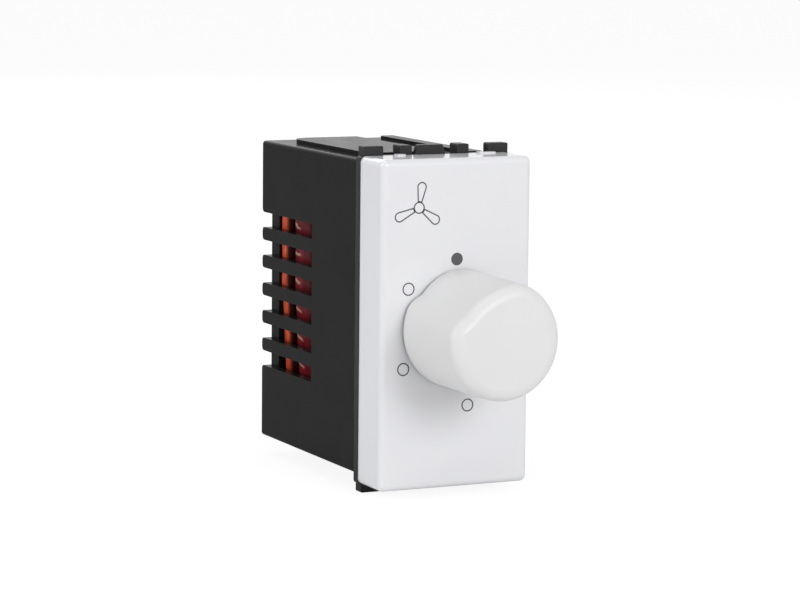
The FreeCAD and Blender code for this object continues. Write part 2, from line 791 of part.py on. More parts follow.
def make_switch_base():
    """Moulded cup: bearing for the shaft's end, pocket for ball and spring, feet towards the board."""
    part = body("switch_base")
    half = SWITCH_HALF
    add(part, FRONT, CUP_FRONT, CUP_REAR, box(f"-{half}", half, f"knob_up - {half}", CROWN_UP))
    soften(part, "housing_corner", lambda edge: runs_along(edge, 1))
    cut(part, FRONT, CUP_FRONT, CUP_FLOOR, circle("0", "knob_up", CUP_RADIUS))
    cut(
        part, FRONT, CUP_FLOOR, CUP_REAR,
        circle("0", "knob_up", "journal_radius + running_gap"),
        *[circle(across, up, "tail_radius + fit_gap / 2") for across, up in tail_places()],
    )
    middle = f"({ROTOR_FRONT} + rotor_thickness / 2)"
    cut(
        part, TOP, "knob_up + rotor_radius", f"{CROWN_UP} - switch_floor",
        circle("0", middle, "ball_radius + fit_gap"),
    )
    cut(
        part, FRONT, CUP_FRONT, CUP_REAR,
        *[circle(across, up, "rivet_radius + running_gap") for across, up in rivet_places()],
    )
    foot_across = f"({half} - foot_width / 2)"
    add(
        part, FRONT, CUP_REAR, f"{BOARD_FRONT} - fit_gap",
        *[
            box_at(f"{side} * {foot_across}", up, "foot_width", "foot_height")
            for side in ("-1", "1")
            for up in ("knob_up", f"{CROWN_UP} - foot_height / 2")
        ],
    )


def make_fixed_contacts():
    """Common ring and four step contacts, each with a tail that passes through the board."""
    part = body("fixed_contacts")
    add(
        part, FRONT, CONTACT_FRONT, CUP_FLOOR,
        *[circle(across, up, "contact_size") for across, up in contact_places()],
        circle("0", "knob_up", COMMON_OUTER), circle("0", "knob_up", COMMON_INNER),
    )
    add(
        part, FRONT, CUP_FLOOR, f"{BOARD_REAR} + tail_length",
        *[circle(across, up, "tail_radius") for across, up in tail_places()],
    )


def make_rotor():
    """Rotor: square drive hole and a notch in the rim for each of the five positions."""
    part = body("contact_rotor")
    add(part, FRONT, ROTOR_FRONT, ROTOR_REAR, circle("0", "knob_up", "rotor_radius"))
    cut(
        part, FRONT, ROTOR_FRONT, ROTOR_REAR,
        box_at("0", "knob_up", "shaft_square + running_gap * 2", "shaft_square + running_gap * 2"),
    )
    reach = "(rotor_radius + ball_radius - ball_drop)"
    angles = [f"(step_one_angle - {step})" for step in ("0", *STEPS)]
    cut(
        part, FRONT, ROTOR_FRONT, ROTOR_REAR,
        *[
            circle(f"-{reach} * sin({angle})", f"knob_up + {reach} * cos({angle})", "ball_radius + fit_gap")
            for angle in angles
        ],
    )


def make_wiper():
    """Brass blade: ring on the common contact, one arm with a dimple that rides the step contacts."""
    part = body("wiper")
    front = f"({ROTOR_REAR} + running_gap)"
    add(part, FRONT, front, WIPER_REAR, circle("0", "knob_up", "wiper_radius"))
    add(
        part, FRONT, front, WIPER_REAR,
        box(
            "-wiper_arm / 2", "wiper_arm / 2",
            f"knob_up - {CONTACT_RADIUS} - wiper_end", f"knob_up - {COMMON_INNER}",
        ),
    )
    cut(
        part, FRONT, front, WIPER_REAR,
        box_at("0", "knob_up", "shaft_square + running_gap * 2", "shaft_square + running_gap * 2"),
    )
    middle = f"({COMMON_INNER} + {COMMON_OUTER}) / 2"
    add(
        part, FRONT, WIPER_REAR, f"{WIPER_REAR} + dimple",
        *[
            circle(across, up, "dimple")
            for across, up in (
                ("0", f"knob_up - {CONTACT_RADIUS}"), (f"-({middle})", "knob_up"), (middle, "knob_up"),
            )
        ],
    )


def make_shaft():
    """Turned shaft: flat for the knob, groove for the clip, collar, square and rear journal."""
    part = body("switch_shaft")
    front = f"({KNOB_REAR} + knob_gap - shaft_reach + fascia_depth)"
    collar_end = f"({CUP_FRONT} + rotor_play - fit_gap)"
    add(part, FRONT, front, collar_end, circle("0", "knob_up", "shaft_radius"))
    add(
        part, FRONT, f"{CUP_FRONT} + running_gap", collar_end,
        circle("0", "knob_up", "shaft_radius + clip_groove"),
    )
    add(
        part, FRONT, collar_end, f"{WIPER_REAR} + running_gap",
        box_at("0", "knob_up", "shaft_square", "shaft_square"),
    )
    add(
        part, FRONT, f"{WIPER_REAR} + running_gap", f"{CUP_REAR} - running_gap",
        circle("0", "knob_up", "journal_radius"),
    )
    # Flat that carries the knob
    cut(
        part, FRONT, front, f"{KNOB_REAR} + knob_gap",
        box(
            "-shaft_radius", "shaft_radius",
            "knob_up + shaft_radius - shaft_flat", "knob_up + shaft_radius + shaft_flat",
        ),
    )
    # Groove for the retaining clip, just in front of the bush
    groove_rear = f"({BUSH_FRONT} - running_gap)"
    cut(
        part, FRONT, f"{groove_rear} - clip_thickness - running_gap * 2", groove_rear,
        circle("0", "knob_up", "shaft_radius * 2"), circle("0", "knob_up", "shaft_radius - clip_groove"),
    )
    tip = value(front)
    soften(part, "clip_groove / 2", lambda edge: lies_at(edge, 1, tip), "PartDesign::Chamfer", "Size")


def make_retaining_clip():
    """Open clip of spring steel in the shaft's groove."""
    part = body("retaining_clip")
    rear = f"({BUSH_FRONT} - running_gap * 2)"
    inner = "(shaft_radius - clip_groove + running_gap / 2)"
    add(
        part, FRONT, f"{rear} - clip_thickness", rear,
        circle("0", "knob_up", f"{inner} + clip_width"), circle("0", "knob_up", inner),
    )
    cut(
        part, FRONT, f"{rear} - clip_thickness", rear,
        box("-clip_width", "clip_width", "knob_up - shaft_radius * 2", "knob_up - shaft_radius / 2"),
    )


def make_detent():
    """Steel ball that drops into the rotor's notches, and the coil spring above it."""
    middle = f"({ROTOR_FRONT} + rotor_thickness / 2)"
    ball = doc.addObject("Part::Sphere", "detent_ball")
    ball.Label = "detent_ball"
    ball.setExpression("Radius", bound("ball_radius"))
    ball.setExpression(".Placement.Base.y", bound(middle))
    ball.setExpression(".Placement.Base.z", bound(BALL_UP))
    spring = body("detent_spring")
    section = sketch(spring, FRONT, f"-{middle}")
    foot = f"({BALL_UP} + ball_radius + spring_wire + running_gap)"
    circle("ball_radius - spring_wire - running_gap", foot, "spring_wire")(section)
    doc.recompute()
    coil = spring.newObject("PartDesign::AdditiveHelix", "coil")
    coil.Profile = section
    coil.ReferenceAxis = (section, ["V_Axis"])
    coil.Mode = "pitch-height-angle"
    coil.setExpression("Pitch", bound("spring_pitch"))
    coil.setExpression("Height", bound(f"{CROWN_UP} - switch_floor - ({foot}) - spring_wire - running_gap"))
    doc.recompute()


def make_rivets():
    """Four rivets that clamp the frame, the switch's cover and its base."""
    part = body("switch_rivets")
    spans = (
        (f"{FASCIA_BACK} - rivet_head_height", FASCIA_BACK, "rivet_head"),
        (FASCIA_BACK, CUP_REAR, "rivet_radius"),
        (CUP_REAR, f"{CUP_REAR} + rivet_head_height", "rivet_head"),
    )
    for front, rear, radius in spans:
        add(part, FRONT, front, rear, *[circle(across, up, radius) for across, up in rivet_places()])


def scoop_point(angle, reach):
    """A point of the pointer scoop, at an angle and at a distance from the knob's axis."""
    return f"-({reach}) * sin({angle})", f"knob_up + ({reach}) * cos({angle})"


def upright_between(low, high):
    """The knob's long edges that stand between two angles."""

    def choose(edge):
        centre = edge.BoundBox.Center
        angle = math.degrees(math.atan2(-centre.x, centre.z - value("knob_up"))) % 360
        if angle > 180:
            angle -= 360
        return edge.BoundBox.YLength > value("knob_length") * 0.95 and value(low) < angle < value(high)

    return choose


def scoop_outline(radius, deep, end, depth, belly):
    """A long shallow side, the deepest line, a short steep side, and a way round outside the knob."""

    def draw(drawn):
        outside = f"{radius} + {depth} * 3"
        start = scoop_point("scoop_start_angle", f"{radius} + fit_gap * 2")
        middle = scoop_point(f"(scoop_start_angle + {deep}) / 2", f"{radius} - {depth} * {belly}")
        lowest = scoop_point(deep, f"{radius} - {depth}")
        # The steep side crosses the knob's side at its end, and runs as far again outside
        crossing = scoop_point(end, radius)
        beyond = [f"2 * ({far}) - ({near})" for far, near in zip(crossing, lowest)]
        corners = [lowest, beyond, scoop_point(f"(scoop_start_angle + {end}) / 2", outside), start]
        points = [FreeCAD.Vector(value(across), value(up), 0) for across, up in (start, middle, *corners)]
        arc = drawn.addGeometry(Part.Arc(*points[:3]), False)
        start_end = 1 if drawn.getPoint(arc, 1).distanceToPoint(points[0]) < 1e-3 else 2
        pin_point(drawn, arc, start_end, *start)
        pin_point(drawn, arc, 3 - start_end, *lowest)
        through = drawn.addGeometry(Part.Point(points[1]), True)
        pin_point(drawn, through, 1, *middle)
        drawn.addConstraint(Sketcher.Constraint("PointOnObject", through, 1, arc))
        for number, (begin, finish) in enumerate(zip(points[2:], points[3:])):
            line = drawn.addGeometry(Part.LineSegment(begin, finish), False)
            pin_point(drawn, line, 1, *corners[number])
            pin_point(drawn, line, 2, *corners[number + 1])

    return draw


def make_knob():
    """Turned shell with a hub and ribs; a scoop along its side points at the chosen step."""
    part = body("knob")
    add(part, FRONT, KNOB_FRONT, KNOB_REAR, circle("0", "knob_up", "knob_radius"))
    stock = part.Tip
    front, rear = value(KNOB_FRONT), value(KNOB_REAR)
    # The side narrows slightly towards the front
    draft = part.newObject("PartDesign::Draft", "side_draft")
    faces = list(enumerate(stock.Shape.Faces, 1))
    side = [f"Face{number}" for number, face in faces if face.Surface.TypeId == "Part::GeomCylinder"]
    back = [f"Face{number}" for number, face in faces if abs(face.CenterOfMass.y - rear) < 1e-4]
    draft.Base = (stock, side)
    draft.NeutralPlane = (stock, back)
    draft.Reversed = True
    draft.setExpression("Angle", bound("atan((knob_radius - knob_front_radius) / knob_length)"))
    doc.recompute()
    sections = []
    for place, shape in (
        (
            f"({KNOB_REAR} + fit_gap)",
            ("knob_radius", "scoop_deep_angle", "scoop_end_angle", "scoop_depth", "scoop_belly_share"),
        ),
        (
            f"({KNOB_FRONT} - fit_gap)",
            (
                "knob_front_radius", "front_scoop_deep_angle", "front_scoop_end_angle",
                "front_scoop_depth", "front_scoop_belly_share",
            ),
        ),
    ):
        drawn = sketch(part, FRONT, f"-1 * {place}")
        scoop_outline(*shape)(drawn)
        sections.append(drawn)
    scoop = part.newObject("PartDesign::SubtractiveLoft", "scoop")
    scoop.Profile = sections[0]
    scoop.Sections = sections[1:]
    scoop.Ruled = True
    doc.recompute()
    between = "((scoop_deep_angle + scoop_end_angle + front_scoop_deep_angle + front_scoop_end_angle) / 4)"
    soften(part, "scoop_valley", upright_between("scoop_deep_angle", between))
    soften(part, "scoop_brow", upright_between(between, "front_scoop_end_angle"))
    soften(part, "scoop_blend", upright_between("scoop_start_angle", "scoop_deep_angle / 2"))
    soften(part, "knob_edge", lambda edge: lies_at(edge, 1, front))
    # Hollow inside, with a hub on ribs
    inside = f"({KNOB_FRONT} + knob_face)"
    inner = "(knob_front_radius - knob_wall)"
    cut(part, FRONT, inside, KNOB_REAR, circle("0", "knob_up", inner))
    hub_end = f"({KNOB_REAR} + knob_gap + clip_thickness)"
    add(part, FRONT, inside, hub_end, circle("0", "knob_up", "knob_hub"))
    reach = f"({inner} + fit_gap)"
    for width, height in ((f"{reach} * 2", "knob_rib"), ("knob_rib", f"{reach} * 2")):
        add(part, FRONT, inside, f"{inside} + knob_rib_length", box_at("0", "knob_up", width, height))
    bore = "(shaft_radius + running_gap)"
    shaft_front = f"({KNOB_REAR} + knob_gap - shaft_reach + fascia_depth)"
    cut(part, FRONT, f"{shaft_front} - fit_gap", hub_end, circle("0", "knob_up", bore))
    flat = "(knob_up + shaft_radius - shaft_flat + running_gap)"
    add(
        part, FRONT, f"{shaft_front} - fit_gap", f"{KNOB_REAR} + knob_gap - fit_gap",
        box(f"-{bore}", bore, flat, "knob_up + knob_hub - knob_rib"),
    )


def make_board():
    """Circuit board, drilled for the contacts' tails and the leads, slotted for the busbars."""
    part = body("circuit_board")
    add(
        part, FRONT, BOARD_FRONT, BOARD_REAR,
        box(
            f"-{INSIDE} + board_gap", f"{INSIDE} - board_gap",
            f"{INSIDE_BOTTOM} + board_gap", f"{INSIDE_TOP} - board_gap",
        ),
    )
    holes = [circle(across, up, "tail_radius + pin_gap") for across, up in tail_places()]
    for side in ("-1", "1"):
        across = f"{side} * resistor_across"
        holes += [circle(across, up, "resistor_lead + pin_gap") for up in resistor_holes()]
        holes.append(box_at(
            f"{side} * {TERMINAL_ACROSS}", f"{BUSBAR_UP} - tongue_thickness / 2",
            "busbar_width + pin_gap * 2", "tongue_thickness + pin_gap * 2",
        ))
    holes += [circle(across, LEAD_UP, "lead_radius + pin_gap") for across, middle in lead_places()]
    cut(part, FRONT, BOARD_FRONT, BOARD_REAR, *holes)


def lead_places():
    """Leads of the front capacitor and, further in, those of the rear one: across and from front to rear."""
    return [
        (f"{side} * ({inset})", f"(({front} + {rear}) / 2)")
        for side in ("-1", "1")
        for inset, front, rear in (
            (LEAD_ACROSS, THICK_FRONT, THICK_REAR),
            (f"{LEAD_ACROSS} - lead_inset", THIN_FRONT, THIN_REAR),
        )
    ]


def resistor_holes():
    """Heights of a resistor's two leads."""
    return ("resistor_up - resistor_span", "resistor_up + resistor_span")


def make_capacitor(label, front, rear):
    """Film capacitor in dipped epoxy: a box with all of its edges well rounded."""
    part = body(label)
    add(
        part, FRONT, front, rear,
        box(f"-{CAPACITOR_HALF}", CAPACITOR_HALF, CAPACITOR_LOW, CAPACITOR_HIGH),
    )
    soften(part, f"({rear} - {front}) / 2 - pillow_flat", lambda edge: True)


def make_leads():
    """Four leads, from the foot of each capacitor forward into the board."""
    part = body("capacitor_leads")
    for across, middle in lead_places():
        points = [(middle, CAPACITOR_LOW), (middle, LEAD_UP), (f"{BOARD_FRONT} - lead_radius", LEAD_UP)]
        wire(part, SIDE, across, TOP, (across, middle, CAPACITOR_LOW), points, "lead_radius")


def make_resistor(label, side):
    """Bleed resistor lying along the board, with a lead bent into the board at each end."""
    part = body(label)
    across = f"{side} * resistor_across"
    centre = f"({BOARD_REAR} + running_gap + resistor_radius)"
    half = "resistor_length / 2"
    low, high = f"(resistor_up - {half})", f"(resistor_up + {half})"
    add(part, TOP, low, high, circle(across, centre, "resistor_radius"))
    ends = [value(low), value(high)]
    soften(part, "resistor_radius / 3", lambda edge: lies_at(edge, 2, ends[0]) or lies_at(edge, 2, ends[1]))
    for root, hole in zip((f"{low} + lead_radius", f"{high} - lead_radius"), resistor_holes()):
        points = [(centre, root), (centre, hole), (f"{BOARD_FRONT} - lead_radius", hole)]
        wire(part, SIDE, across, TOP, (across, centre, root), points, "resistor_lead")


def make_busbar(label, side):
    """Brass strip: from the board back to the terminal, then down as the tongue in the cage."""
    part = body(label)
    left = f"{side} * {TERMINAL_ACROSS} - busbar_width / 2"
    right = f"{side} * {TERMINAL_ACROSS} + busbar_width / 2"
    front = f"{BOARD_FRONT} - lead_radius"
    foot = f"{TERMINAL_UP} - cage_height / 2"
    add(
        part, SIDE, left, right,
        outline([
            (front, BUSBAR_UP), (TONGUE_REAR, BUSBAR_UP), (TONGUE_REAR, foot), (TONGUE_FRONT, foot),
            (TONGUE_FRONT, f"{BUSBAR_UP} - tongue_thickness"), (front, f"{BUSBAR_UP} - tongue_thickness"),
        ]),
    )
    rear, top = value(TONGUE_REAR), value(BUSBAR_UP)
    soften(
        part, "tongue_thickness",
        lambda edge: runs_along(edge, 0) and lies_at(edge, 1, rear) and lies_at(edge, 2, top),
    )


def make_terminal(side, screw_label, cage_label):
    """Captive screw and the rising cage that it draws towards the rear."""
    across, up = f"{side} * {TERMINAL_ACROSS}", TERMINAL_UP
    screw = body(screw_label)
    shank_end = f"({TONGUE_REAR} + contact_gap)"
    head_end = f"({SCREW_HEAD} + terminal_head_height)"
    add(screw, FRONT, shank_end, SCREW_HEAD, circle(across, up, "terminal_screw_radius"))
    add(screw, FRONT, SCREW_HEAD, head_end, circle(across, up, "terminal_head_radius"))
    end = value(head_end)
    soften(screw, "screw_slot / 2", lambda edge: lies_at(edge, 1, end), "PartDesign::Chamfer", "Size")
    slot_front = f"{head_end} - screw_slot_depth"
    cut(screw, FRONT, slot_front, head_end, box_at(across, up, "terminal_head_radius * 2", "screw_slot"))
    cut(screw, FRONT, slot_front, head_end, box_at(across, up, "screw_slot", "cross_slot"))
    cage = body(cage_label)
    add(
        cage, TOP, f"{up} - cage_height / 2", f"{up} + cage_height / 2",
        box(f"{across} - cage_width / 2", f"{across} + cage_width / 2", CAGE_FRONT, CAGE_REAR),
        box(
            f"{across} - cage_width / 2 + cage_wall", f"{across} + cage_width / 2 - cage_wall",
            f"{CAGE_FRONT} + cage_wall", f"{CAGE_REAR} - cage_wall",
        ),
    )
    soften(cage, "cage_wall / 2", lambda edge: runs_along(edge, 2) and (
        lies_at(edge, 1, value(CAGE_FRONT)) or lies_at(edge, 1, value(CAGE_REAR))))
    cut(
        cage, FRONT, f"{CAGE_REAR} - cage_wall", CAGE_REAR,
        circle(across, up, "terminal_screw_radius + running_gap"),
    )


def make_cover_screws():
    """Two pan-head screws that hold the rear cover on the housing's bosses."""
    part = body("cover_screws")
    seat = f"({HOUSING_REAR} - cover_recess)"
    head_end = f"({seat} + cover_head_height)"
    centres = [f"{side} * {BOSS_ACROSS}" for side in ("-1", "1")]
    add(
        part, FRONT, f"{COVER_FRONT} - cover_screw_length + fit_gap", seat,
        *[circle(across, BOSS_UP, "cover_screw_radius") for across in centres],
    )
    add(part, FRONT, seat, head_end, *[circle(across, BOSS_UP, "cover_head_radius") for across in centres])
    end = value(head_end)
    soften(part, "cover_head_height / 3", lambda edge: lies_at(edge, 1, end))
    for width, height in (("cover_slot_length", "cover_slot"), ("cover_slot", "cover_slot_length")):
        cut(
            part, FRONT, f"{head_end} - cover_slot_depth", head_end,
            *[box_at(across, BOSS_UP, width, height) for across in centres],
        )


make_fascia()
make_front_frame()
make_housing()
make_rear_cover()
make_switch_cover()
make_switch_base()
make_fixed_contacts()
make_rotor()
make_wiper()
make_shaft()
make_retaining_clip()
make_detent()
make_rivets()
make_knob()
make_board()
make_capacitor("capacitor_front", THICK_FRONT, THICK_REAR)
make_capacitor("capacitor_rear", THIN_FRONT, THIN_REAR)
make_leads()
make_resistor("resistor_left", "-1")
make_resistor("resistor_right", "1")
make_busbar("line_busbar", "-1")
make_busbar("load_busbar", "1")
make_terminal("-1", "line_screw", "line_cage")
make_terminal("1", "load_screw", "load_cage")
make_cover_screws()

# Every object is whole before anything is written
doc.recompute()
faulty = [item.Label for item in doc.Objects if "Invalid" in item.State or "Error" in item.State]
if faulty:
    raise RuntimeError(f"not built: {faulty}")
pieces = [item for item in doc.Objects if item.TypeId in ("PartDesign::Body", "Part::Sphere")]
for piece in pieces:
    if piece.Shape.isNull() or not piece.Shape.isValid():
        raise RuntimeError(f"{piece.Label} has no valid shape")
os.makedirs("parts", exist_ok=True)
for piece in pieces:
    piece.Shape.exportStep(f"parts/{piece.Label}.step")
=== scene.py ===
import math

import bmesh
import bpy
from mathutils import Matrix, Vector, noise


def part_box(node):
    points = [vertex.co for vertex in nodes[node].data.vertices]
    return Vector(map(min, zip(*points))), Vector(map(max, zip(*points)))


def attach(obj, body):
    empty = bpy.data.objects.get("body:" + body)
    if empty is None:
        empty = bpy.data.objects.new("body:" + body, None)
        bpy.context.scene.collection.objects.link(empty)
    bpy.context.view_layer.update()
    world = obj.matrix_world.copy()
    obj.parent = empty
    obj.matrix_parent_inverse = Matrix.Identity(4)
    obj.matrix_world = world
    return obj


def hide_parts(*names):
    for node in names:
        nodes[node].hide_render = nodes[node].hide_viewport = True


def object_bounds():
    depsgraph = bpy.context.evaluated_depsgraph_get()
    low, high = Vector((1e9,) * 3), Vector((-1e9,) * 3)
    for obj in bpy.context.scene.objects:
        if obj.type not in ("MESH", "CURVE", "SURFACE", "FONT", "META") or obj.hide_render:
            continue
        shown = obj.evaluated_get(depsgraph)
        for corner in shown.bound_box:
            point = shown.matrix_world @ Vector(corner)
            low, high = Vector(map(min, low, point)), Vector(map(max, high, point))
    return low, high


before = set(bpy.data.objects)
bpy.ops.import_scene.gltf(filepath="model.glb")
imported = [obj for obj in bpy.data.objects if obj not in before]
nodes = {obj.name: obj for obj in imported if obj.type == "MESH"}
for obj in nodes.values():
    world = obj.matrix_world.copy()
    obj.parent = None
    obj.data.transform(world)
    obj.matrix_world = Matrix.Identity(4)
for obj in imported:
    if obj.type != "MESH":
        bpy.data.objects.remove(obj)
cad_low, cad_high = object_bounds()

scene = bpy.context.scene
scene.view_settings.view_transform = "Standard"

# Camera: it stands to the left of the switch and a little above it, as in the photograph.
# A long lens keeps the upright edges of the module nearly parallel.
CAMERA_PLACE = Vector((-0.18318, -0.37348, 0.05717))
CAMERA_YAW = math.radians(25.504)
CAMERA_PITCH = math.radians(7.512)
CAMERA_ROLL = math.radians(0.596)
CAMERA_LENS = 137.3
CAMERA_NEAR = 0.02
CAMERA_FAR = 20.0

camera_data = bpy.data.cameras.new("camera")
camera_data.lens = CAMERA_LENS
camera_data.clip_start = CAMERA_NEAR
camera_data.clip_end = CAMERA_FAR
camera = bpy.data.objects.new("camera", camera_data)
scene.collection.objects.link(camera)
camera.matrix_world = (
    Matrix.Translation(CAMERA_PLACE)
    @ Matrix.Rotation(-CAMERA_YAW, 4, "Z")
    @ Matrix.Rotation(math.pi / 2 - CAMERA_PITCH, 4, "X")
    @ Matrix.Rotation(CAMERA_ROLL, 4, "Z")
)
scene.camera = camera

# Studio light: a softbox in front, a little above and to the right, casts the knob's soft shadow down
# to the left. A second one lights the left side square on, and two weak ones above and behind keep
# the top and the rear readable. All of them aim at the middle of the cap's seat.
LIGHT_AIM = Vector((0, 0, 0))
FRONT_BOX = 0.34
WIDE_BOX = 0.55
PLAIN_LIGHT = (1.0, 1.0, 1.0)
COOL_LIGHT = (0.975, 0.99, 1.0)
SOFTBOXES = (
    # name, place, size, power, tint
    ("front_light", (0.14, -0.82, 0.27), FRONT_BOX, 3.35, PLAIN_LIGHT),
    ("side_light", (-0.82, 0.03, 0.25), WIDE_BOX, 2.4, COOL_LIGHT),
    ("top_light", (-0.10, 0.00, 0.85), WIDE_BOX, 1.3, PLAIN_LIGHT),
    ("rear_light", (0.05, 0.78, 0.40), WIDE_BOX, 1.2, PLAIN_LIGHT),
)

for name, place, size, power, tint in SOFTBOXES:
    lamp = bpy.data.lights.new(name, "AREA")
    lamp.shape = "SQUARE"
    lamp.size = size
    lamp.energy = power
    lamp.color = tint
    softbox = bpy.data.objects.new(name, lamp)
    scene.collection.objects.link(softbox)
    turn = (LIGHT_AIM - Vector(place)).to_track_quat("-Z", "Y")
    softbox.matrix_world = Matrix.Translation(place) @ turn.to_matrix().to_4x4()

# The room: its diffuse light is held a little under full, while the camera, gloss and glass see
# a plain white surround.
ROOM_LIGHT = 0.41
ROOM_SHADE = (0.985, 0.99, 1.0, 1.0)
WHITE = (1.0, 1.0, 1.0, 1.0)


def node(tree, kind, inputs=None, **settings):
    """Node of a kind with its settings. Its inputs get plain values or other nodes' outputs."""
    made = tree.nodes.new(kind)
    for setting, value in settings.items():
        setattr(made, setting, value)
    for socket, value in (inputs or {}).items():
        if isinstance(value, bpy.types.NodeSocket):
            tree.links.new(value, made.inputs[socket])
        else:
            made.inputs[socket].default_value = value
    return made


room = bpy.data.worlds.new("room")
room.use_nodes = True
scene.world = room
room_tree = room.node_tree
room_tree.nodes.clear()
room_ray = node(room_tree, "ShaderNodeLightPath")
seen_or_shiny = node(room_tree, "ShaderNodeMath", {0: room_ray.outputs["Is Camera Ray"],
                     1: room_ray.outputs["Is Glossy Ray"]}, operation="MAXIMUM")
seen_at_all = node(room_tree, "ShaderNodeMath", {0: seen_or_shiny.outputs[0],
                   1: room_ray.outputs["Is Transmission Ray"]}, operation="MAXIMUM")
room_diffuse = node(room_tree, "ShaderNodeBackground", {"Color": ROOM_SHADE, "Strength": ROOM_LIGHT})
room_seen = node(room_tree, "ShaderNodeBackground", {"Color": WHITE, "Strength": 1.0})
room_mix = node(room_tree, "ShaderNodeMixShader", {0: seen_at_all.outputs[0],
                1: room_diffuse.outputs[0], 2: room_seen.outputs[0]})
node(room_tree, "ShaderNodeOutputWorld", {"Surface": room_mix.outputs[0]})

# Floor: matt white card under the lower lugs, which the switch rests on. To the camera it glows up
# to the white of the surround, and only the soft shadow darkens it. From below the camera sees
# through it, so that the underside shows.
FLOOR_HALF = 3.0
FLOOR_WHITE = (0.90, 0.90, 0.90, 1.0)
FLOOR_GLOW = 0.90
FLOOR_DIM = (0.16, 0.16, 0.16, 1.0)
FLOOR_FLECK = 900.0
FLOOR_RELIEF = 0.0002

floor_mesh = bmesh.new()
bmesh.ops.create_grid(floor_mesh, x_segments=1, y_segments=1, size=FLOOR_HALF)
bmesh.ops.translate(floor_mesh, verts=floor_mesh.verts[:], vec=(0, 0, cad_low.z))
floor_data = bpy.data.meshes.new("floor")
floor_mesh.to_mesh(floor_data)
floor_mesh.free()
floor = bpy.data.objects.new("floor", floor_data)
scene.collection.objects.link(floor)

card = bpy.data.materials.new("floor_card")
card.use_nodes = True
card_tree = card.node_tree
card_tree.nodes.clear()
card_ray = node(card_tree, "ShaderNodeLightPath")
card_place = node(card_tree, "ShaderNodeTexCoord")
card_fleck = node(card_tree, "ShaderNodeTexNoise", {"Vector": card_place.outputs["Object"],
                  "Scale": FLOOR_FLECK, "Detail": 3.0})
card_bump = node(card_tree, "ShaderNodeBump", {"Height": card_fleck.outputs["Fac"],
                 "Strength": 0.1, "Distance": FLOOR_RELIEF})
card_plain = node(card_tree, "ShaderNodeBsdfDiffuse", {"Color": FLOOR_WHITE,
                  "Normal": card_bump.outputs["Normal"]})
card_glow = node(card_tree, "ShaderNodeEmission", {"Color": WHITE, "Strength": FLOOR_GLOW})
card_dim = node(card_tree, "ShaderNodeBsdfDiffuse", {"Color": FLOOR_DIM})
card_seen = node(card_tree, "ShaderNodeAddShader", {0: card_glow.outputs[0], 1: card_dim.outputs[0]})
card_mix = node(card_tree, "ShaderNodeMixShader", {0: card_ray.outputs["Is Camera Ray"],
                1: card_plain.outputs[0], 2: card_seen.outputs[0]})
card_side = node(card_tree, "ShaderNodeNewGeometry")
card_clear = node(card_tree, "ShaderNodeBsdfTransparent")
card_below = node(card_tree, "ShaderNodeMath", {0: card_ray.outputs["Is Camera Ray"],
                  1: card_side.outputs["Backfacing"]}, operation="MULTIPLY")
card_surface = node(card_tree, "ShaderNodeMixShader", {0: card_below.outputs[0],
                    1: card_mix.outputs[0], 2: card_clear.outputs[0]})
node(card_tree, "ShaderNodeOutputMaterial", {"Surface": card_surface.outputs[0]})
floor_data.materials.append(card)

# Housing shell, rear cover and front frame: moulded in black plastic from spark-eroded moulds, so
# they have a fine even grain, faint flow shading and slightly polished corners, which are also painted
# lighter as an edge highlight. The shell clips to the frame, and the cover is let into the shell's
# rear.
GRAIN_SCALE = 5200.0
GRAIN_RELIEF = 0.00005
FLOW_SCALE = 95.0
CORNER_REACH = 0.00022
CORNER_TURN = 0.72
CORNER_POLISH = 0.7
HOUSING_BLACK = (0.0172, 0.0160, 0.0163, 1.0)
HOUSING_GREY = (0.0190, 0.0196, 0.0184, 1.0)
# Painted edge highlight: the housing's corners are coloured lighter than its body.
HOUSING_CORNER_HIGHLIGHT = (0.0300, 0.0300, 0.0295, 1.0)
HOUSING_GLOSS = 0.016
FRAME_BLACK = (0.0400, 0.0400, 0.0405, 1.0)
FRAME_GREY = (0.0480, 0.0480, 0.0485, 1.0)
# Painted edge highlight: the frame's corners are coloured lighter than its body.
FRAME_CORNER_HIGHLIGHT = (0.0600, 0.0600, 0.0605, 1.0)
FRAME_GLOSS = 0.02


def node_group(name, inputs, outputs):
    """Empty shader group with number or vector inputs and named outputs."""
    tree = bpy.data.node_groups.new(name, "ShaderNodeTree")
    for socket, kind in inputs.items():
        tree.interface.new_socket(socket, in_out="INPUT", socket_type=kind)
    for socket, kind in outputs.items():
        tree.interface.new_socket(socket, in_out="OUTPUT", socket_type=kind)
    return tree, node(tree, "NodeGroupInput"), node(tree, "NodeGroupOutput")


def mould_grain_group():
    """Height of a fine mould grain, and a slow shade that wanders as plastic flows in a mould."""
    tree, given, result = node_group(
        "mould_grain",
        {"Place": "NodeSocketVector", "Grain Scale": "NodeSocketFloat",
         "Flow Scale": "NodeSocketFloat"},
        {"Height": "NodeSocketFloat", "Shade": "NodeSocketFloat"},
    )
    grain = node(tree, "ShaderNodeTexNoise", {"Vector": given.outputs["Place"],
                 "Scale": given.outputs["Grain Scale"], "Detail": 2.0, "Roughness": 0.55})
    pits = node(tree, "ShaderNodeTexVoronoi", {"Vector": given.outputs["Place"],
                "Scale": given.outputs["Grain Scale"]}, feature="SMOOTH_F1")
    height = node(tree, "ShaderNodeMath", {0: grain.outputs["Fac"], 1: pits.outputs["Distance"]},
                  operation="MULTIPLY")
    flow = node(tree, "ShaderNodeTexNoise", {"Vector": given.outputs["Place"],
                "Scale": given.outputs["Flow Scale"], "Detail": 3.0, "Distortion": 0.8})
    shade = node(tree, "ShaderNodeMapRange", {"Value": flow.outputs["Fac"], "From Min": 0.3,
                 "From Max": 0.7})
    tree.links.new(height.outputs[0], result.inputs["Height"])
    tree.links.new(shade.outputs[0], result.inputs["Shade"])
    return tree


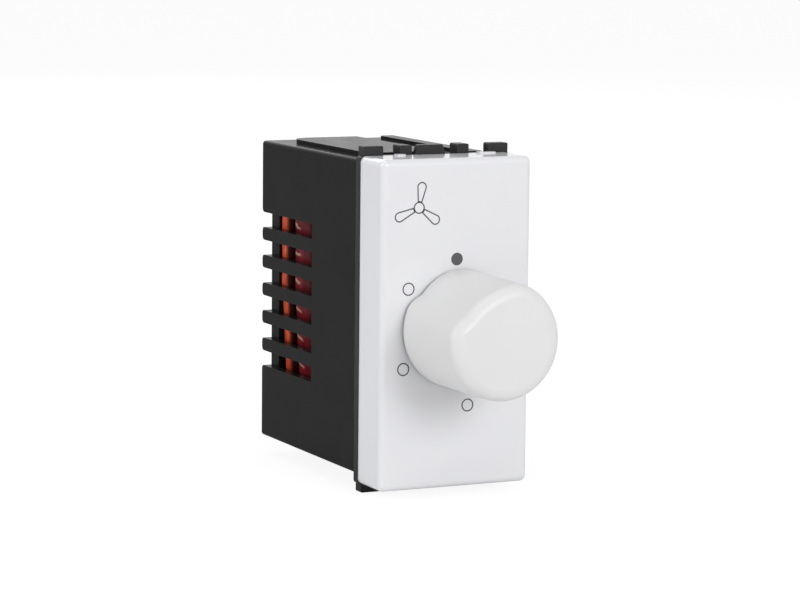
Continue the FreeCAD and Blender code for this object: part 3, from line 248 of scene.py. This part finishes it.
def corner_group():
    """Mask that is 1 on outer and inner corners, from how far a rounded normal leaves the true one."""
    tree, given, result = node_group(
        "corners", {"Reach": "NodeSocketFloat"}, {"Corner": "NodeSocketFloat"}
    )
    rounded = node(tree, "ShaderNodeBevel", {"Radius": given.outputs["Reach"]}, samples=4)
    facing = node(tree, "ShaderNodeNewGeometry")
    along = node(tree, "ShaderNodeVectorMath", {0: rounded.outputs[0], 1: facing.outputs["Normal"]},
                 operation="DOT_PRODUCT")
    mask = node(tree, "ShaderNodeMapRange", {"Value": along.outputs["Value"], "From Min": 1.0,
                "From Max": CORNER_TURN})
    tree.links.new(mask.outputs[0], result.inputs["Corner"])
    return tree


mould_grain = mould_grain_group()
corners = corner_group()


def surface(name, **plain):
    """Material with a Principled surface that holds these plain values."""
    made = bpy.data.materials.new(name)
    made.use_nodes = True
    shader = made.node_tree.nodes["Principled BSDF"]
    for socket, value in plain.items():
        shader.inputs[socket.replace("_", " ")].default_value = value
    return made, made.node_tree, shader


def moulded(name, dark, pale, corner_wear_and_highlight, rough, rough_spread, bump, **plain):
    """Moulded plastic: flow shading between two colours, fine grain, and smoother corners in their own
    colour, which on the black plastics is a painted edge highlight.
    """
    made, tree, shader = surface(name, **plain)
    place = node(tree, "ShaderNodeTexCoord")
    grain = node(tree, "ShaderNodeGroup", {}, node_tree=mould_grain)
    grain.inputs["Grain Scale"].default_value = GRAIN_SCALE
    grain.inputs["Flow Scale"].default_value = FLOW_SCALE
    tree.links.new(place.outputs["Object"], grain.inputs["Place"])
    edge = node(tree, "ShaderNodeGroup", {}, node_tree=corners)
    edge.inputs["Reach"].default_value = CORNER_REACH
    flow = node(tree, "ShaderNodeMix", {"Factor": grain.outputs["Shade"], "A": dark, "B": pale},
                data_type="RGBA")
    # The corner colour is wear, and on the black plastics a painted edge highlight.
    worn_and_highlit = node(tree, "ShaderNodeMix", {"Factor": edge.outputs["Corner"], "B": corner_wear_and_highlight},
                data_type="RGBA")
    tree.links.new(flow.outputs["Result"], worn_and_highlit.inputs["A"])
    gloss = node(tree, "ShaderNodeMapRange", {"Value": grain.outputs["Shade"],
                 "To Min": rough - rough_spread, "To Max": rough + rough_spread})
    polish = node(tree, "ShaderNodeMix", {"Factor": edge.outputs["Corner"], "A": gloss.outputs[0],
                  "B": rough * CORNER_POLISH}, data_type="FLOAT")
    relief = node(tree, "ShaderNodeBump", {"Height": grain.outputs["Height"], "Strength": bump,
                  "Distance": GRAIN_RELIEF})
    tree.links.new(worn_and_highlit.outputs["Result"], shader.inputs["Base Color"])
    tree.links.new(polish.outputs["Result"], shader.inputs["Roughness"])
    tree.links.new(relief.outputs["Normal"], shader.inputs["Normal"])
    return made


def dress(material, *names):
    """Gives CAD nodes a finish by their material slots."""
    for name in names:
        for place in nodes[name].material_slots:
            place.material = material


housing_black = moulded("housing_black", HOUSING_BLACK, HOUSING_GREY, HOUSING_CORNER_HIGHLIGHT,
                        rough=0.21, rough_spread=0.03, bump=0.35, Specular_IOR_Level=HOUSING_GLOSS)
frame_black = moulded("frame_black", FRAME_BLACK, FRAME_GREY, FRAME_CORNER_HIGHLIGHT,
                      rough=0.24, rough_spread=0.03, bump=0.15, Specular_IOR_Level=FRAME_GLOSS)
dress(housing_black, "housing_shell", "rear_cover")
dress(frame_black, "front_frame")

# Fascia: white cap moulded in glossy plastic, pushed onto the frame's front and held by its four
# legs. Its faces mirror softly, with the slow waviness of a polished mould.
CAP_WHITE = (0.790, 0.790, 0.808, 1.0)
CAP_COOL = (0.768, 0.768, 0.792, 1.0)
CAP_GLOSS = (0.16, 0.22)
WAVE_SCALE = 120.0
WAVE_RELIEF = 0.0004

cap_white, cap_tree, cap_shader = surface("cap_white", IOR=1.52, Coat_Weight=0.25, Coat_Roughness=0.04)
cap_place = node(cap_tree, "ShaderNodeTexCoord")
cap_grain = node(cap_tree, "ShaderNodeGroup", {}, node_tree=mould_grain)
cap_grain.inputs["Grain Scale"].default_value = GRAIN_SCALE
cap_grain.inputs["Flow Scale"].default_value = FLOW_SCALE
cap_tree.links.new(cap_place.outputs["Object"], cap_grain.inputs["Place"])
cap_colour = node(cap_tree, "ShaderNodeMix", {"Factor": cap_grain.outputs["Shade"], "A": CAP_WHITE,
                  "B": CAP_COOL}, data_type="RGBA")
cap_wave = node(cap_tree, "ShaderNodeTexNoise", {"Vector": cap_place.outputs["Object"],
                "Scale": WAVE_SCALE, "Detail": 1.0})
cap_relief = node(cap_tree, "ShaderNodeBump", {"Height": cap_wave.outputs["Fac"], "Strength": 0.12,
                  "Distance": WAVE_RELIEF})
cap_gloss = node(cap_tree, "ShaderNodeMapRange", {"Value": cap_grain.outputs["Shade"],
                 "To Min": CAP_GLOSS[0], "To Max": CAP_GLOSS[1]})
cap_tree.links.new(cap_colour.outputs["Result"], cap_shader.inputs["Base Color"])
cap_tree.links.new(cap_gloss.outputs[0], cap_shader.inputs["Roughness"])
cap_tree.links.new(cap_relief.outputs["Normal"], cap_shader.inputs["Normal"])
dress(cap_white, "fascia")

# Printed marks: a dot for off, four open circles for the speeds and an outline pictogram of a fan,
# pad-printed on the cap's front in dark grey ink that stands a hair proud of the plastic.
MARK_PLANE = -0.0072
INK_SUNK = 0.000006
INK_PROUD = 0.000018
INK_GREY = (0.066, 0.066, 0.074, 1.0)
INK_WORN = (0.092, 0.092, 0.100, 1.0)
INK_SPECKLE = 9000.0
INK_RELIEF = 0.00001
INK_ROUGH = 0.42
DOT_PLACE = (0.00002, 0.00884)
DOT_RADIUS = 0.00087
SPEED_PLACES = ((-0.00719, 0.00505), (-0.00786, -0.00581), (0.00189, -0.01126), (0.00970, -0.00300))
SPEED_RADIUS = 0.00090
LINE_WIDTH = 0.00017
FAN_PLACE = (-0.00573, 0.01599)
FAN_HUB = 0.00082
FAN_BLADES = ((8.0, 0.00280), (124.8, 0.00294), (248.0, 0.00314))
BLADE_TIP = 0.00071
BLADE_ROOT = 0.00034
ROUND_STEPS = 64
SAME_POINT = 1e-8


def outlined(drawn, width):
    """Leaves only a line of this width along the edge of a flat face."""
    faces = drawn.faces[:]
    bmesh.ops.inset_region(drawn, faces=faces, thickness=width, use_even_offset=True, use_boundary=True)
    bmesh.ops.delete(drawn, geom=faces, context="FACES_ONLY")


def round_mark(radius):
    """Flat disc round the origin."""
    drawn = bmesh.new()
    bmesh.ops.create_circle(drawn, cap_ends=True, segments=ROUND_STEPS, radius=radius)
    return drawn


def blade_mark(turn, tip_place):
    """Flat blade with a round tip and straight sides that narrow to the hub."""
    drawn = round_mark(BLADE_TIP)
    foot = tip_place - FAN_HUB + LINE_WIDTH / 2
    for point in drawn.verts:
        if point.co.y < 0 and abs(point.co.x) < BLADE_ROOT:
            point.co.y = -foot
        elif point.co.y < 0:
            share = (BLADE_TIP - abs(point.co.x)) / (BLADE_TIP - BLADE_ROOT)
            point.co.y = -foot * share
    outlined(drawn, LINE_WIDTH)
    bmesh.ops.translate(drawn, verts=drawn.verts[:], vec=(0, tip_place, 0))
    bmesh.ops.rotate(drawn, verts=drawn.verts[:], matrix=Matrix.Rotation(-math.radians(turn), 3, "Z"))
    return drawn


ink, ink_tree, ink_shader = surface("print_ink", IOR=1.45, Roughness=INK_ROUGH)
ink_place = node(ink_tree, "ShaderNodeTexCoord")
ink_cover = node(ink_tree, "ShaderNodeTexNoise", {"Vector": ink_place.outputs["Object"],
                 "Scale": INK_SPECKLE, "Detail": 3.0})
ink_spread = node(ink_tree, "ShaderNodeMapRange", {"Value": ink_cover.outputs["Fac"], "From Min": 0.35,
                  "From Max": 0.7})
ink_colour = node(ink_tree, "ShaderNodeMix", {"Factor": ink_spread.outputs[0], "A": INK_GREY,
                  "B": INK_WORN}, data_type="RGBA")
ink_relief = node(ink_tree, "ShaderNodeBump", {"Height": ink_cover.outputs["Fac"], "Strength": 0.1,
                  "Distance": INK_RELIEF})
ink_tree.links.new(ink_colour.outputs["Result"], ink_shader.inputs["Base Color"])
ink_tree.links.new(ink_relief.outputs["Normal"], ink_shader.inputs["Normal"])


def put_piece(name, drawn, material, body):
    """Makes a finished mesh a piece of the object, riding on a body."""
    bmesh.ops.remove_doubles(drawn, verts=drawn.verts[:], dist=SAME_POINT)
    bmesh.ops.recalc_face_normals(drawn, faces=drawn.faces[:])
    data = bpy.data.meshes.new(name)
    drawn.to_mesh(data)
    drawn.free()
    data.materials.append(material)
    piece = bpy.data.objects.new(name, data)
    scene.collection.objects.link(piece)
    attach(piece, body)
    return piece


def print_mark(name, drawn, place):
    """Gives flat artwork the ink's thickness and stands it on the cap's front."""
    grown = bmesh.ops.extrude_face_region(drawn, geom=drawn.faces[:])
    lifted = [part for part in grown["geom"] if isinstance(part, bmesh.types.BMVert)]
    bmesh.ops.translate(drawn, verts=lifted, vec=(0, 0, INK_SUNK + INK_PROUD))
    bmesh.ops.rotate(drawn, verts=drawn.verts[:], matrix=Matrix.Rotation(math.pi / 2, 3, "X"))
    bmesh.ops.translate(drawn, verts=drawn.verts[:], vec=(place[0], MARK_PLANE + INK_SUNK, place[1]))
    return put_piece(name, drawn, ink, "housing")


print_mark("off_dot", round_mark(DOT_RADIUS), DOT_PLACE)
for number, place in enumerate(SPEED_PLACES, 1):
    circle = round_mark(SPEED_RADIUS)
    outlined(circle, LINE_WIDTH)
    print_mark(f"speed_circle_{number}", circle, place)
hub = round_mark(FAN_HUB)
outlined(hub, LINE_WIDTH)
print_mark("fan_hub", hub, FAN_PLACE)
for number, (turn, tip_place) in enumerate(FAN_BLADES, 1):
    print_mark(f"fan_blade_{number}", blade_mark(turn, tip_place), FAN_PLACE)

# Knob: white satin moulding, pushed onto the shaft's flat. Its skin is smoother than the housing's
# and hardly mirrors.
KNOB_WHITE = (0.752, 0.748, 0.748, 1.0)
KNOB_WARM = (0.738, 0.734, 0.733, 1.0)
KNOB_CORNER = (0.758, 0.755, 0.755, 1.0)

knob_white = moulded("knob_white", KNOB_WARM, KNOB_WHITE, KNOB_CORNER,
                     rough=0.43, rough_spread=0.03, bump=0.05)
dress(knob_white, "knob")

# Capacitors: two wound film blocks, each dipped in orange-red epoxy that draws in towards the foot
# and dries lumpy and glossy. They stand behind the board on their leads, and show through the vents.
DIP_ROUND = 0.0010
DIP_ROUND_STEPS = 4
DIP_CUTS = 9
DIP_INSET = 0.00002
DIP_APART = 0.00012
DIP_LUMP = 0.00024
DIP_SCALE = 330.0
FOOT_DRAW = 0.0008
FOOT_SHARE = 0.5
EPOXY_ORANGE = (0.95, 0.170, 0.080, 1.0)
EPOXY_BROWN = (0.56, 0.060, 0.030, 1.0)
# The front capacitor's epoxy is a little redder than the rear one's, and its much darker level is
# painted shade, as it stands deeper in.
SHADED_EPOXY_RED = (0.25, 0.018, 0.028, 1.0)
SHADED_EPOXY_WINE = (0.11, 0.008, 0.014, 1.0)
EPOXY_HIGHLIGHT = (0.62, 0.360, 0.270, 1.0)
EPOXY_CLOUDS = 260.0
EPOXY_GLOSS = (0.14, 0.34)
EPOXY_RELIEF = 0.0003

# Painted highlights, pale streaks that stand for light falling in through the vents, slope down towards
# the front at an even spacing, and on the front capacitor they end a little way in. Painted shade
# darkens the front capacitor towards the board, and the rear one towards the gap between the two.
HIGHLIGHT_SLOPE = -0.28
HIGHLIGHT_SPACING = 0.00406
HIGHLIGHT_PHASE = 0.00332
HIGHLIGHT_HALF_WIDTH = 0.00026
HIGHLIGHT_CORE = 0.4
HIGHLIGHT_WOBBLE = 0.0016
HIGHLIGHT_END = 0.0240
HIGHLIGHT_FADE = 0.0008
ORANGE_HIGHLIGHTS = 0.2
RED_HIGHLIGHTS = 0.85
# Painted shade: the colour the epoxy darkens to between the capacitors and towards the board.
PAINTED_SHADE = (0.036, 0.006, 0.005, 1.0)
ORANGE_SHADE_SPAN = (0.0296, 0.0286)
RED_SHADE_SPAN = (0.0245, 0.0195)


def dipped_epoxy(name, bright, deep, highlight_strength, shade_span):
    """Glossy epoxy, deeper where it ran thick, with painted highlights in pale slanting streaks, and
    painted shade further in.
    """
    made, tree, shader = surface(name, Coat_Weight=0.02, Coat_Roughness=0.05, Specular_IOR_Level=0.02)
    place = node(tree, "ShaderNodeTexCoord")
    cloud = node(tree, "ShaderNodeTexNoise", {"Vector": place.outputs["Object"],
                 "Scale": EPOXY_CLOUDS, "Detail": 4.0, "Distortion": 1.2})
    thick = node(tree, "ShaderNodeMapRange", {"Value": cloud.outputs["Fac"], "From Min": 0.36,
                 "From Max": 0.66})
    colour = node(tree, "ShaderNodeMix", {"Factor": thick.outputs[0], "A": bright, "B": deep},
                  data_type="RGBA")
    axis = node(tree, "ShaderNodeSeparateXYZ", {0: place.outputs["Object"]})
    # Painted highlight: pale slanting streaks that stand for light falling in through the vents.
    slope = node(tree, "ShaderNodeMath", {0: axis.outputs["Y"], 1: HIGHLIGHT_SLOPE, 2: axis.outputs["Z"]},
                 operation="MULTIPLY_ADD")
    shifted = node(tree, "ShaderNodeMath", {0: slope.outputs[0], 1: HIGHLIGHT_PHASE}, operation="SUBTRACT")
    wobble = node(tree, "ShaderNodeMath", {0: cloud.outputs["Fac"], 1: HIGHLIGHT_WOBBLE,
                  2: -HIGHLIGHT_WOBBLE / 2}, operation="MULTIPLY_ADD")
    wavy = node(tree, "ShaderNodeMath", {0: shifted.outputs[0], 1: wobble.outputs[0]}, operation="ADD")
    off_highlight = node(tree, "ShaderNodeMath", {0: wavy.outputs[0], 1: HIGHLIGHT_SPACING / 2},
                   operation="PINGPONG")
    highlight = node(tree, "ShaderNodeMapRange", {"Value": off_highlight.outputs[0], "From Min": HIGHLIGHT_HALF_WIDTH,
               "From Max": HIGHLIGHT_HALF_WIDTH * HIGHLIGHT_CORE, "To Max": highlight_strength})
    highlight_end = node(tree, "ShaderNodeMapRange", {"Value": axis.outputs["Y"], "From Min": HIGHLIGHT_END,
                   "From Max": HIGHLIGHT_END + HIGHLIGHT_FADE})
    highlight_mask = node(tree, "ShaderNodeMath", {0: highlight.outputs[0], 1: highlight_end.outputs[0]},
                    operation="MULTIPLY")
    highlighted = node(tree, "ShaderNodeMix", {"Factor": highlight_mask.outputs[0],
                    "A": colour.outputs["Result"], "B": EPOXY_HIGHLIGHT}, data_type="RGBA")
    # Painted shade: the colour darkens over the given span of Y.
    shade_mask = node(tree, "ShaderNodeMapRange", {"Value": axis.outputs["Y"], "From Min": shade_span[0],
                 "From Max": shade_span[1]})
    shaded = node(tree, "ShaderNodeMix", {"Factor": shade_mask.outputs[0], "A": highlighted.outputs["Result"],
                  "B": PAINTED_SHADE}, data_type="RGBA")
    gloss = node(tree, "ShaderNodeMapRange", {"Value": cloud.outputs["Fac"],
                 "To Min": EPOXY_GLOSS[0], "To Max": EPOXY_GLOSS[1]})
    relief = node(tree, "ShaderNodeBump", {"Height": cloud.outputs["Fac"], "Strength": 0.4,
                  "Distance": EPOXY_RELIEF})
    tree.links.new(shaded.outputs["Result"], shader.inputs["Base Color"])
    tree.links.new(gloss.outputs[0], shader.inputs["Roughness"])
    tree.links.new(relief.outputs["Normal"], shader.inputs["Normal"])
    return made


def dipped_capacitor(name, stands_for, finish):
    """Block with rounded edges, drawn in towards its foot, and lumpy where the epoxy ran."""
    low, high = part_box(stands_for)
    low.y += DIP_APART
    high.y -= DIP_APART
    middle = (low + high) / 2
    block = bmesh.new()
    bmesh.ops.create_cube(block, size=1.0)
    bmesh.ops.scale(block, verts=block.verts[:], vec=high - low - Vector((DIP_INSET,) * 3) * 2)
    bmesh.ops.bevel(block, geom=block.edges[:], offset=DIP_ROUND, segments=DIP_ROUND_STEPS, profile=0.5,
                    affect="EDGES", material=-1)
    long_edges = [edge for edge in block.edges if edge.calc_length() > DIP_ROUND]
    bmesh.ops.subdivide_edges(block, edges=long_edges, cuts=DIP_CUTS, use_grid_fill=True)
    bmesh.ops.translate(block, verts=block.verts[:], vec=middle)
    block.normal_update()
    foot_top = low.z + (high.z - low.z) * FOOT_SHARE
    for point in block.verts:
        lump = 0.5 + 0.5 * noise.noise(point.co * DIP_SCALE)
        drawn_in = max(0.0, (foot_top - point.co.z) / (foot_top - low.z))
        point.co -= point.normal * (DIP_LUMP * lump)
        point.co.x -= point.co.x / high.x * FOOT_DRAW * drawn_in
    for face in block.faces:
        face.smooth = True
    piece = put_piece(name, block, finish, "housing")
    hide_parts(stands_for)


orange_epoxy = dipped_epoxy("orange_epoxy", EPOXY_ORANGE, EPOXY_BROWN, ORANGE_HIGHLIGHTS, ORANGE_SHADE_SPAN)
shaded_red_epoxy = dipped_epoxy("shaded_red_epoxy", SHADED_EPOXY_RED, SHADED_EPOXY_WINE, RED_HIGHLIGHTS, RED_SHADE_SPAN)
dipped_capacitor("front_capacitor_dip", "capacitor_front", shaded_red_epoxy)
dipped_capacitor("rear_capacitor_dip", "capacitor_rear", orange_epoxy)

# Circuit board: brown paper laminate that lies on ledges in the housing and carries the contacts'
# tails, the capacitors and the resistors.
BOARD_BROWN = (0.30, 0.185, 0.075, 1.0)
BOARD_DARK = (0.20, 0.115, 0.045, 1.0)
BOARD_EDGE = (0.36, 0.24, 0.11, 1.0)

board = moulded("board_laminate", BOARD_DARK, BOARD_BROWN, BOARD_EDGE,
                rough=0.45, rough_spread=0.06, bump=0.2)
dress(board, "circuit_board")

# Resistors: two lacquered bodies that stand along the board, each with four painted bands of colour.
RESISTOR_BODY = (0.52, 0.36, 0.20, 1.0)
RESISTOR_PALE = (0.60, 0.44, 0.27, 1.0)
RESISTOR_MOTTLE = 1400.0
RESISTOR_RELIEF = 0.00005
BAND_COLOURS = (
    (0.16, 0.045, 0.02, 1.0),
    (0.02, 0.02, 0.02, 1.0),
    (0.75, 0.28, 0.02, 1.0),
    (0.55, 0.36, 0.06, 1.0),
)
BAND_WIDTH = 0.00045
BAND_SPACING = 0.0011
BAND_FIRST = 0.00755

lacquer, lacquer_tree, lacquer_shader = surface("resistor_lacquer", Roughness=0.28, Coat_Weight=0.3)
lacquer_place = node(lacquer_tree, "ShaderNodeTexCoord")
lacquer_axis = node(lacquer_tree, "ShaderNodeSeparateXYZ", {0: lacquer_place.outputs["Object"]})
lacquer_mottle = node(lacquer_tree, "ShaderNodeTexNoise", {"Vector": lacquer_place.outputs["Object"],
                      "Scale": RESISTOR_MOTTLE, "Detail": 3.0})
lacquer_body = node(lacquer_tree, "ShaderNodeMix", {"Factor": lacquer_mottle.outputs["Fac"],
                    "A": RESISTOR_BODY, "B": RESISTOR_PALE}, data_type="RGBA")
painted = lacquer_body.outputs["Result"]
for number, colour in enumerate(BAND_COLOURS):
    middle = BAND_FIRST + BAND_SPACING * number
    band = node(lacquer_tree, "ShaderNodeMath", {0: lacquer_axis.outputs["Z"], 1: middle,
                2: BAND_WIDTH / 2}, operation="COMPARE")
    laid = node(lacquer_tree, "ShaderNodeMix", {"Factor": band.outputs[0], "A": painted, "B": colour},
                data_type="RGBA")
    painted = laid.outputs["Result"]
lacquer_relief = node(lacquer_tree, "ShaderNodeBump", {"Height": lacquer_mottle.outputs["Fac"],
                      "Strength": 0.2, "Distance": RESISTOR_RELIEF})
lacquer_tree.links.new(painted, lacquer_shader.inputs["Base Color"])
lacquer_tree.links.new(lacquer_relief.outputs["Normal"], lacquer_shader.inputs["Normal"])
dress(lacquer, "resistor_left", "resistor_right")

# Metal pieces: stamped brass contacts, busbars and cages, tinned leads, and zinc-plated or spring
# steel for screws, shaft, clip, ball and spring. Each has fine rolling marks and a little tarnish.
ROLL_STRETCH = (1.0, 1.0, 18.0)
TARNISH_CLOUDS = 320.0
BRASS_BRIGHT = (0.82, 0.62, 0.30, 1.0)
BRASS_TARNISHED = (0.55, 0.36, 0.15, 1.0)
ZINC_BRIGHT = (0.68, 0.68, 0.66, 1.0)
ZINC_DULL = (0.50, 0.50, 0.49, 1.0)
SPRING_BRIGHT = (0.56, 0.56, 0.58, 1.0)
SPRING_DULL = (0.40, 0.39, 0.39, 1.0)
TIN_BRIGHT = (0.72, 0.72, 0.72, 1.0)
TIN_DULL = (0.55, 0.55, 0.54, 1.0)
SMOOTHEST_STREAK = 0.75
ROUGHEST_STREAK = 1.3
METAL_RELIEF = 0.00003


def metal_marks_group():
    """Fine streaks from rolling or drawing, and slow clouds of tarnish."""
    tree, given, result = node_group(
        "metal_marks", {"Place": "NodeSocketVector", "Streak Scale": "NodeSocketFloat"},
        {"Streak": "NodeSocketFloat", "Tarnish": "NodeSocketFloat"},
    )
    stretched = node(tree, "ShaderNodeMapping", {"Vector": given.outputs["Place"],
                     "Scale": ROLL_STRETCH})
    streak = node(tree, "ShaderNodeTexNoise", {"Vector": stretched.outputs[0],
                  "Scale": given.outputs["Streak Scale"], "Detail": 3.0})
    cloud = node(tree, "ShaderNodeTexNoise", {"Vector": given.outputs["Place"],
                 "Scale": TARNISH_CLOUDS, "Detail": 5.0, "Distortion": 0.6})
    spread = node(tree, "ShaderNodeMapRange", {"Value": cloud.outputs["Fac"], "From Min": 0.42,
                  "From Max": 0.75})
    tree.links.new(streak.outputs["Fac"], result.inputs["Streak"])
    tree.links.new(spread.outputs[0], result.inputs["Tarnish"])
    return tree


metal_marks = metal_marks_group()


def metal(name, bright, tarnished, rough, streak_scale):
    """Metal whose gloss follows its streaks and whose colour follows its tarnish."""
    made, tree, shader = surface(name, Metallic=1.0)
    place = node(tree, "ShaderNodeTexCoord")
    marks = node(tree, "ShaderNodeGroup", {}, node_tree=metal_marks)
    marks.inputs["Streak Scale"].default_value = streak_scale
    tree.links.new(place.outputs["Object"], marks.inputs["Place"])
    colour = node(tree, "ShaderNodeMix", {"Factor": marks.outputs["Tarnish"], "A": bright,
                  "B": tarnished}, data_type="RGBA")
    gloss = node(tree, "ShaderNodeMapRange", {"Value": marks.outputs["Streak"], "From Min": 0.3,
                 "From Max": 0.7, "To Min": rough * SMOOTHEST_STREAK,
                 "To Max": rough * ROUGHEST_STREAK})
    relief = node(tree, "ShaderNodeBump", {"Height": marks.outputs["Streak"], "Strength": 0.15,
                  "Distance": METAL_RELIEF})
    tree.links.new(colour.outputs["Result"], shader.inputs["Base Color"])
    tree.links.new(gloss.outputs[0], shader.inputs["Roughness"])
    tree.links.new(relief.outputs["Normal"], shader.inputs["Normal"])
    return made


brass = metal("stamped_brass", BRASS_BRIGHT, BRASS_TARNISHED, rough=0.30, streak_scale=1500.0)
zinc = metal("zinc_steel", ZINC_BRIGHT, ZINC_DULL, rough=0.32, streak_scale=2200.0)
spring_steel = metal("spring_steel", SPRING_BRIGHT, SPRING_DULL, rough=0.22, streak_scale=2600.0)
tinned = metal("tinned_wire", TIN_BRIGHT, TIN_DULL, rough=0.38, streak_scale=3000.0)
dress(brass, "fixed_contacts", "wiper", "switch_rivets", "line_busbar", "load_busbar", "line_cage",
      "load_cage")
dress(zinc, "switch_shaft", "cover_screws", "line_screw", "load_screw")
dress(spring_steel, "retaining_clip", "detent_ball", "detent_spring")
dress(tinned, "capacitor_leads")

# Rotary switch mouldings: cup, cover and rotor, pressed in dark brown phenolic that shades slowly
# where the powder flowed, with paler corners where the flash was tumbled off.
PHENOLIC_DARK = (0.045, 0.026, 0.018, 1.0)
PHENOLIC_PALE = (0.075, 0.043, 0.028, 1.0)
PHENOLIC_CORNER = (0.10, 0.06, 0.04, 1.0)

phenolic = moulded("phenolic_brown", PHENOLIC_DARK, PHENOLIC_PALE, PHENOLIC_CORNER,
                   rough=0.36, rough_spread=0.05, bump=0.25)
dress(phenolic, "switch_cover", "switch_base", "contact_rotor")
